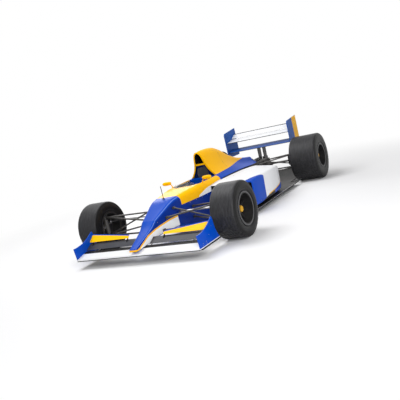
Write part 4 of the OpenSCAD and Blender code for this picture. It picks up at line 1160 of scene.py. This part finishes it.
RED = plain("red_button", (0.50, 0.010, 0.008), rough=0.35, scale=700, bump=0.1, vary=0.08, dust=0.05)
keys = [button(WHEEL_HUB + 0.019 * WHEEL_AXIS + x * WHEEL_SIDE + y * WHEEL_UP, WHEEL_AXIS, 0.0062, 0.005)
        for x, y in ((-0.024, 0.010), (0.024, 0.010), (0.0, -0.013))]
make_piece("wheel_buttons", keys, RED, body="steering_wheel", sharp=35)

# %% Dash: display and switches
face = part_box("dash_bulkhead")[1].y
housing = rounded_bar((-0.066, face - 0.001, 0.447), (0.066, face + 0.012, 0.503), power=8, rows=16,
                      cols=40)
make_piece("dash_housing", [housing], PLASTIC, sharp=40)
DISPLAY = plain("display_glass", (0.030, 0.050, 0.035), rough=0.18, scale=300, bump=0.02, vary=0.1,
                dust=0.03)
screen = rounded_bar((-0.050, face + 0.010, 0.458), (0.050, face + 0.0135, 0.492), power=10, rows=14,
                     cols=40)
make_piece("dash_display", [screen], DISPLAY, sharp=40)
switches = [button((x, face + 0.001, 0.400), (0, 1, 0.2), 0.007, 0.012)
            for x in (-0.150, -0.128, 0.128, 0.150)]
make_piece("dash_switches", switches, BOLT, sharp=35)


# %% [markdown]
# ## Mechanical trim at the back
# Behind the engine cover two coil springs lie on the gearbox, worked by the pushrods. Four pipes leave
# each side of the engine and join into one tail pipe. A spring is a helix swept with a small circle,
# and a pipe is a circle carried along a smooth path.

# %% Springs and dampers
def helix(start, end, radius, turns, count=260):
    """Points on a circle that turns about the line from start to end while it moves along it."""
    start, end = np.asarray(start, float), np.asarray(end, float)
    along = unit(end - start)
    side = unit(np.cross(along, (0, 0, 1.0)))
    t = np.linspace(0, 1, count)[:, None]
    a = 2 * np.pi * turns * t
    return start + (end - start) * t + radius * (np.cos(a) * side + np.sin(a) * np.cross(side, along))


SPRING_X, SPRING_Z = 0.060, 0.4545
y0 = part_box("engine_cover")[1].y + 0.035
y1 = y0 + 0.165
coil = tube(helix((SPRING_X, y0, SPRING_Z), (SPRING_X, y1, SPRING_Z), 0.0235, 7.5), 0.0042, sides=10,
            up=(0.12, 0.1, 1))
SPRING = plain("spring_steel", (0.018, 0.018, 0.020), rough=0.4, scale=600, bump=0.1, vary=0.1, dust=0.2)
make_piece("coil_springs", mirrored([coil]), SPRING, sharp=60)

stations = [(y0 - 0.030, 0.007), (y0 - 0.012, 0.0075), (y0 - 0.0119, 0.026), (y0 - 0.006, 0.027),
            (y0 - 0.0059, 0.016), (y0 + 0.095, 0.016), (y0 + 0.0951, 0.006), (y1 + 0.006, 0.006),
            (y1 + 0.0061, 0.027), (y1 + 0.012, 0.026), (y1 + 0.0121, 0.008), (y1 + 0.032, 0.007)]
damper = tube([(SPRING_X, y, SPRING_Z) for y, r in stations], [r for y, r in stations], sides=24)
make_piece("dampers", mirrored([damper]), MACHINED, sharp=35)

# %% Exhausts
BLOCK_LOW, BLOCK_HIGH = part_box("engine_block")
END = np.array([0.243, BLOCK_HIGH.y + 0.02, 0.300])
PIPE_R, TAIL_R, TAIL_BORE = 0.0185, 0.0285, 0.0255
pipes = []
for k, port in enumerate(np.linspace(BLOCK_LOW.y + 0.08, BLOCK_HIGH.y - 0.10, 4)):
    knots = [(BLOCK_HIGH.x - 0.004, port, 0.350), (0.234, port + 0.010, 0.348),
             (0.246, port + 0.035, 0.330 - 0.012 * k % 0.02), (0.244, port + 0.080, 0.316 - 0.010 * k),
             END + (0, -0.04, 0.006 * (k - 1.5)), END]
    pipes.append(tube(smooth_path(knots, 48), PIPE_R, sides=18))
tail = smooth_path([END, END + (-0.004, 0.08, 0.004), (0.222, BLOCK_HIGH.y + 0.16, 0.318),
                    (0.205, BLOCK_HIGH.y + 0.225, 0.330)], 40)
pipes.append(tube(tail, TAIL_R, sides=28))
HOT = plain("heat_blued_steel", (0.16, 0.115, 0.085), rough=0.34, metallic=0.9, scale=220, bump=0.1,
            vary=0.35, dust=0.1)
make_piece("exhaust_pipes", mirrored(pipes), HOT, sharp=50)
mouth = tube(tail[-1] + np.linspace(0, 1, 5)[:, None] * (tail[-1] - tail[-2]) * 0.6, TAIL_BORE, sides=28)
SOOT = plain("soot", (0.004, 0.004, 0.004), rough=0.9, scale=500, bump=0.3, dust=0.0)
make_piece("exhaust_soot", mirrored([mouth]), SOOT, sharp=50)

# %% [markdown]
# ## Pipes, ducts and tanks round the gearbox
# The space between the pods and the rear wheels is full of plumbing. Rigid alloy pipes run beside the
# gearbox, a finned oil cooler stands on the floor by a small tank, and a carbon scoop on each upright
# feeds the brake.
# A scoop is a rounded rectangle whose size and place change along its path.

# %% Scoops, pipes and coolers
def scoop(path, widths, heights, corner=5.0, sides=40, thick=0.003):
    """A hollow duct: a rounded rectangle of changing width and height carried along a path, out along
    the outer wall and back along the inner one."""
    side, up = carried(path, (0, 0, 1.0))
    turn = around(sides)
    size = soft_square(turn, corner)

    def walls(inset):
        w, h = (v[:, None, None] / 2 - inset for v in (widths, heights))
        a, b = (size * np.cos(turn))[None, :, None], (size * np.sin(turn))[None, :, None]
        return path[:, None] + w * a * side[:, None] + h * b * up[:, None]

    return grid_parts(np.concatenate([walls(0), walls(thick)[::-1]]), wrap_u=True)


duct_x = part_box("rear_uprights")[1].x - 0.095
duct_path = smooth_path([(duct_x + x, REAR - y, REAR_HUB.z + z)
                         for x, y, z in ((0, 0.235, 0.035), (0, 0.17, 0.03), (0.012, 0.105, 0.02),
                                         (0.022, 0.085, 0.015))], 24)
t = np.linspace(0, 1, 24)
brake_scoop = scoop(duct_path, 0.074 - 0.018 * t, 0.150 - 0.04 * t)
make_piece("rear_brake_scoops", mirrored([brake_scoop]), CARBON, sharp=40)

PIPE = plain("alloy_pipe", (0.13, 0.13, 0.13), rough=0.35, metallic=0.8, scale=300, bump=0.1, dust=0.25)
lines = []
for k, (r, z) in enumerate(((0.011, 0.392), (0.008, 0.366), (0.008, 0.346), (0.006, 0.30),
                            (0.010, 0.255))):
    knots = [(0.150 + 0.006 * k, 0.925, z - 0.03), (0.150 + 0.004 * k, 0.99, z),
             (0.136 + 0.002 * k, 1.08, z + 0.004), (0.134, 1.17, z - 0.002), (0.128, 1.212, z - 0.006)]
    lines.append(tube(smooth_path(knots, 40), r, sides=14))
make_piece("alloy_pipes", mirrored(lines), PIPE, sharp=50)

COOLER_Y, FIN_PITCH = 0.935, 0.0225
fins = [rounded_bar((0.150, COOLER_Y + FIN_PITCH * k, 0.085),
                    (0.232, COOLER_Y + FIN_PITCH * k + 0.014, 0.232), power=12, rows=8, cols=20)
        for k in range(9)]
tanks = [rounded_bar((0.144, 0.928, low), (0.238, 1.140, high), power=10)
         for low, high in ((0.226, 0.248), (0.070, 0.090))]
make_piece("oil_coolers", mirrored(fins + tanks), BLOCK, sharp=40)

profile = [(-0.105, 0.004), (-0.100, 0.030), (-0.092, 0.038), (0.060, 0.038), (0.070, 0.034),
           (0.074, 0.014), (0.086, 0.013), (0.090, 0.003)]
tank = tube([(0.205, 1.04, 0.345 + h) for h, r in profile], [r for h, r in profile], sides=28,
            up=(0, 1, 0))
make_piece("catch_tanks", mirrored([tank]), PLASTIC, sharp=35)

# %% Rain light: a red lens of small domes
LENS_Y = 1.850
lens = [rounded_bar((-0.032, LENS_Y - 0.002, 0.397), (0.032, LENS_Y + 0.004, 0.437), power=10)]
lens += [button((x, LENS_Y + 0.0035, z), (0, 1, 0), 0.0042, 0.0025, sides=12)
         for x in np.linspace(-0.025, 0.025, 6) for z in np.linspace(0.403, 0.431, 4)]
make_piece("rain_light_lens", lens, LENS, sharp=40)

# %% [markdown]
# ## Fasteners and edges
# Panels come off in minutes, so quarter turn fasteners line every joint. A ray cast from outside finds
# the panel and the way it faces, and a small sunken stud is set there. Thin strips stiffen the rear
# flap's trailing edge, guard the floor's sides and line its underside as a wooden skid plank.

# %% Finding the surface
from mathutils.bvhtree import BVHTree


def skin_of(*nodes):
    """A search tree of the triangles of some CAD nodes."""
    points, faces, count = [], [], 0
    for node in nodes:
        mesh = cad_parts[node].data
        corners = np.empty(len(mesh.loops), int)
        mesh.loops.foreach_get("vertex_index", corners)
        faces.append(corners.reshape(-1, 3) + count)
        points.append(points_of(node))
        count += len(mesh.vertices)
    return BVHTree.FromPolygons(np.vstack(points).tolist(), np.vstack(faces).tolist())


def landings(tree, rays):
    """Where each ray (origin, direction) meets the skin, with the direction the skin faces there."""
    found = []
    for origin, direction in rays:
        point, normal = tree.ray_cast(Vector(origin), Vector(direction).normalized())[:2]
        if point is not None:
            normal = normal if normal.dot(Vector(direction)) < 0 else -normal
            found.append((np.array(point), np.array(normal)))
    return found


STUD_R = 0.0048
STUD = np.array([[1.0, -0.25], [1.0, 0.10], [0.88, 0.22], [0.52, 0.22], [0.44, 0.06], [0.05, 0.06]])


def stud(point, normal):
    """A low disc with a sunken middle."""
    return disc(point, normal, STUD, STUD_R, STUD_R, 12, (0.21, 0.34, 0.91))


# %% Studs along the joints
def inwards(x, spots):
    """Rays towards the car's middle through (y, z) spots."""
    return [((x, y, z), (-1, 0, 0)) for y, z in spots]


def downwards(x, z, ys):
    """Rays straight down from a row of places."""
    return [((x, y, z), (0, 0, -1)) for y in ys]


def row(start, end, count, z):
    """(y, z) spots at even steps."""
    return [(y, z) for y in np.linspace(start, end, count)]


SEAM_Y, SEAM_Z = (-1.645, -1.695), (0.20, 0.33)
BOLTED_FRONT = [(-1.97, 0.118), (-1.97, 0.138), (-1.90, 0.118), (-1.90, 0.138), (-1.83, 0.185),
                (-1.75, 0.25)]
BOLTED_REAR = [(1.70, 0.785), (1.82, 0.800), (1.90, 0.835), (1.95, 0.855), (1.68, 0.615), (1.78, 0.632)]
STUD_ROWS = [
    (("monocoque", "nose_cone", "cockpit_cover"),
     inwards(0.6, [(y, z) for y in SEAM_Y for z in SEAM_Z] + row(-1.08, -0.72, 4, 0.392))),
    (("engine_cover",), inwards(0.7, row(-0.10, 1.10, 9, 0.462))),
    (("sidepod_left",),
     downwards(0.335, 1.0, np.linspace(-0.30, 0.70, 6)) + inwards(1.2, row(-0.20, 0.66, 6, 0.125))),
    (("front_endplate_left",), inwards(1.2, BOLTED_FRONT)),
    (("rear_endplate_left",), inwards(1.2, BOLTED_REAR)),
    (("floor",), downwards(0.67, 0.5, np.linspace(-0.25, 1.35, 11))),
]
studs = [stud(*spot) for nodes, rays in STUD_ROWS for spot in landings(skin_of(*nodes), rays)]
make_piece("quarter_turn_studs", mirrored(studs), BOLT, sharp=35)

# %% Flap lip, floor guards and skid plank
FLAP_LOW, FLAP_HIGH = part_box("rear_wing_flap")
STRIP = {"power": 14, "rows": 10, "cols": 24}
lip = rounded_bar((FLAP_LOW.x + 0.001, FLAP_HIGH.y - 0.0035, FLAP_HIGH.z - 0.003),
                  (FLAP_HIGH.x - 0.001, FLAP_HIGH.y - 0.001, FLAP_HIGH.z + 0.007), **STRIP)
guard = rounded_bar((0.688, -0.42, 0.0572), (0.6995, 1.42, 0.0602), **STRIP)
skid = rounded_bar((-0.09, -0.60, 0.0425), (0.09, 1.30, 0.0452), **STRIP)
PLANK = plain("plank_wood", (0.16, 0.10, 0.055), rough=0.7, scale=260, stretch=6.0, bump=0.3, dust=0.5)
make_piece("flap_lip", [lip], CARBON, sharp=40)
make_piece("floor_guards", mirrored([guard]), MACHINED, sharp=40)
make_piece("skid_plank", [skid], PLANK, sharp=40)

# %% Wheels: drive pegs and valves
PEG_RING, PEG_R, HUB_INSET = 0.047, 0.0052, 0.096


def pegs(hub, way, face):
    """Six studs in a ring on the wheel's hub face."""
    return [button((way * (hub.x + face), hub.y + PEG_RING * math.cos(turn),
                    hub.z + PEG_RING * math.sin(turn)), (way, 0, 0), PEG_R, 0.006, sides=10)
            for turn in around(6) + 0.26]


FACE = {"front": FRONT_TYRE.x / 2 - HUB_INSET, "rear": REAR_TYRE.x / 2 - HUB_INSET}
for axle, side, way in WHEELS:
    hub = HUBS[axle]
    path = [(way * (hub.x + FACE[axle] + out), hub.y + 0.010, hub.z + up)
            for out, up in ((0.030, 0.1545), (0.045, 0.147), (0.060, 0.143))]
    valve = tube(path, 0.0036, sides=10, up=(0, 1, 0))
    make_piece(f"{axle}_{side}_wheel_fittings", pegs(hub, way, FACE[axle] + 0.0005) + [valve], BOLT,
               body=f"{axle}_{side}_wheel", sharp=35)


# %% [markdown]
# ## Stage, light and camera
# The car stands on a plain pale floor that fades into a white surround. One broad soft lamp hangs
# over it, a second fills the flank turned to the viewer, so that the paint keeps its colour there, and
# a weak third one lights the far edges.

# %% Floor and surround
def camera_sees(tree):
    """1 for rays from the camera, and for reflections and refractions of the surround."""
    path = put(tree, "LightPath").outputs
    both_kinds = calc("MAXIMUM", path["Is Camera Ray"], path["Is Glossy Ray"])
    return calc("MAXIMUM", both_kinds, path["Is Transmission Ray"])


FLOOR_HALF, FLOOR_DROP = 40.0, 0.0005
FADE_START, FADE_END = 1.6, 5.5
FILL_LIGHT = 0.38
floor_mesh = bpy.data.meshes.new("studio_floor")
corners = [(x * FLOOR_HALF, y * FLOOR_HALF, -FLOOR_DROP) for x, y in ((-1, -1), (1, -1), (1, 1), (-1, 1))]
floor_mesh.from_pydata(corners, [], [(0, 1, 2, 3)])
studio_floor = add_object("studio_floor", floor_mesh)
floor_material, tree, shader = blank("studio_floor")
feed(shader, {"Base Color": (0.86, 0.86, 0.87, 1), "Roughness": 0.9, "Specular IOR Level": 0.1})
far = put(tree, "VectorMath", {0: put(tree, "TexCoord").outputs["Object"]},
          operation="LENGTH").outputs["Value"]
fade = put(tree, "MapRange", {"Value": far, "From Min": FADE_START, "From Max": FADE_END},
           interpolation_type="SMOOTHSTEP")
white = put(tree, "Emission", {"Color": (1, 1, 1, 1), "Strength": 1.0})
share = calc("MULTIPLY", fade.outputs[0], camera_sees(tree))
blend = put(tree, "MixShader", {0: share, 1: shader.outputs[0], 2: white.outputs[0]})
feed(tree.nodes["Material Output"], {"Surface": blend.outputs[0]})
floor_mesh.materials.append(floor_material)

world = bpy.data.worlds.new("surround")
bpy.context.scene.world = world
world.use_nodes = True
strength = calc("MULTIPLY_ADD", camera_sees(world.node_tree), 1 - FILL_LIGHT, FILL_LIGHT)
feed(world.node_tree.nodes["Background"], {"Color": (1, 1, 1, 1), "Strength": strength})


# %% Lamps
def lamp(name, at, target, size, power):
    """A square soft lamp at a place, turned to a target."""
    light = bpy.data.lights.new(name, "AREA")
    light.size, light.energy = size, power
    holder = add_object(name, light)
    holder.location = at
    holder.rotation_euler = (Vector(target) - Vector(at)).to_track_quat("-Z", "Y").to_euler()


lamp("overhead", (-1.6, -0.6, 5.2), (0, 0, 0.3), 4.0, 235)
lamp("front_fill", (4.2, -4.8, 2.2), (0, 0.1, 0.4), 3.2, 235)
lamp("rim", (-3.5, 4.0, 3.0), (0, 0.5, 0.4), 2.5, 70)

# %% Camera
AZIMUTH, ELEVATION, ROLL = (math.radians(v) for v in (31.05, 8.82, 13.69))
DISTANCE, TARGET = 6.798, Vector((0.0133, -0.5544, 0.3064))
level = math.cos(ELEVATION)
back = Vector((math.sin(AZIMUTH) * level, -math.cos(AZIMUTH) * level, math.sin(ELEVATION)))
right = Vector((math.cos(AZIMUTH), math.sin(AZIMUTH), 0))
above = back.cross(right)
turned_right = right * math.cos(ROLL) - above * math.sin(ROLL)
turned_up = right * math.sin(ROLL) + above * math.cos(ROLL)
camera_data = bpy.data.cameras.new("camera")
camera_data.lens, camera_data.sensor_width = 48.82, 36.0
camera_data.shift_x, camera_data.shift_y = 0.003, 0.0005
camera = add_object("camera", camera_data)
axes = Matrix((turned_right, turned_up, back)).transposed().to_4x4()
camera.matrix_world = Matrix.Translation(TARGET + back * DISTANCE) @ axes
bpy.context.scene.camera = camera
bpy.context.scene.view_settings.view_transform = "Standard"
print(f"camera {DISTANCE} m from the car")
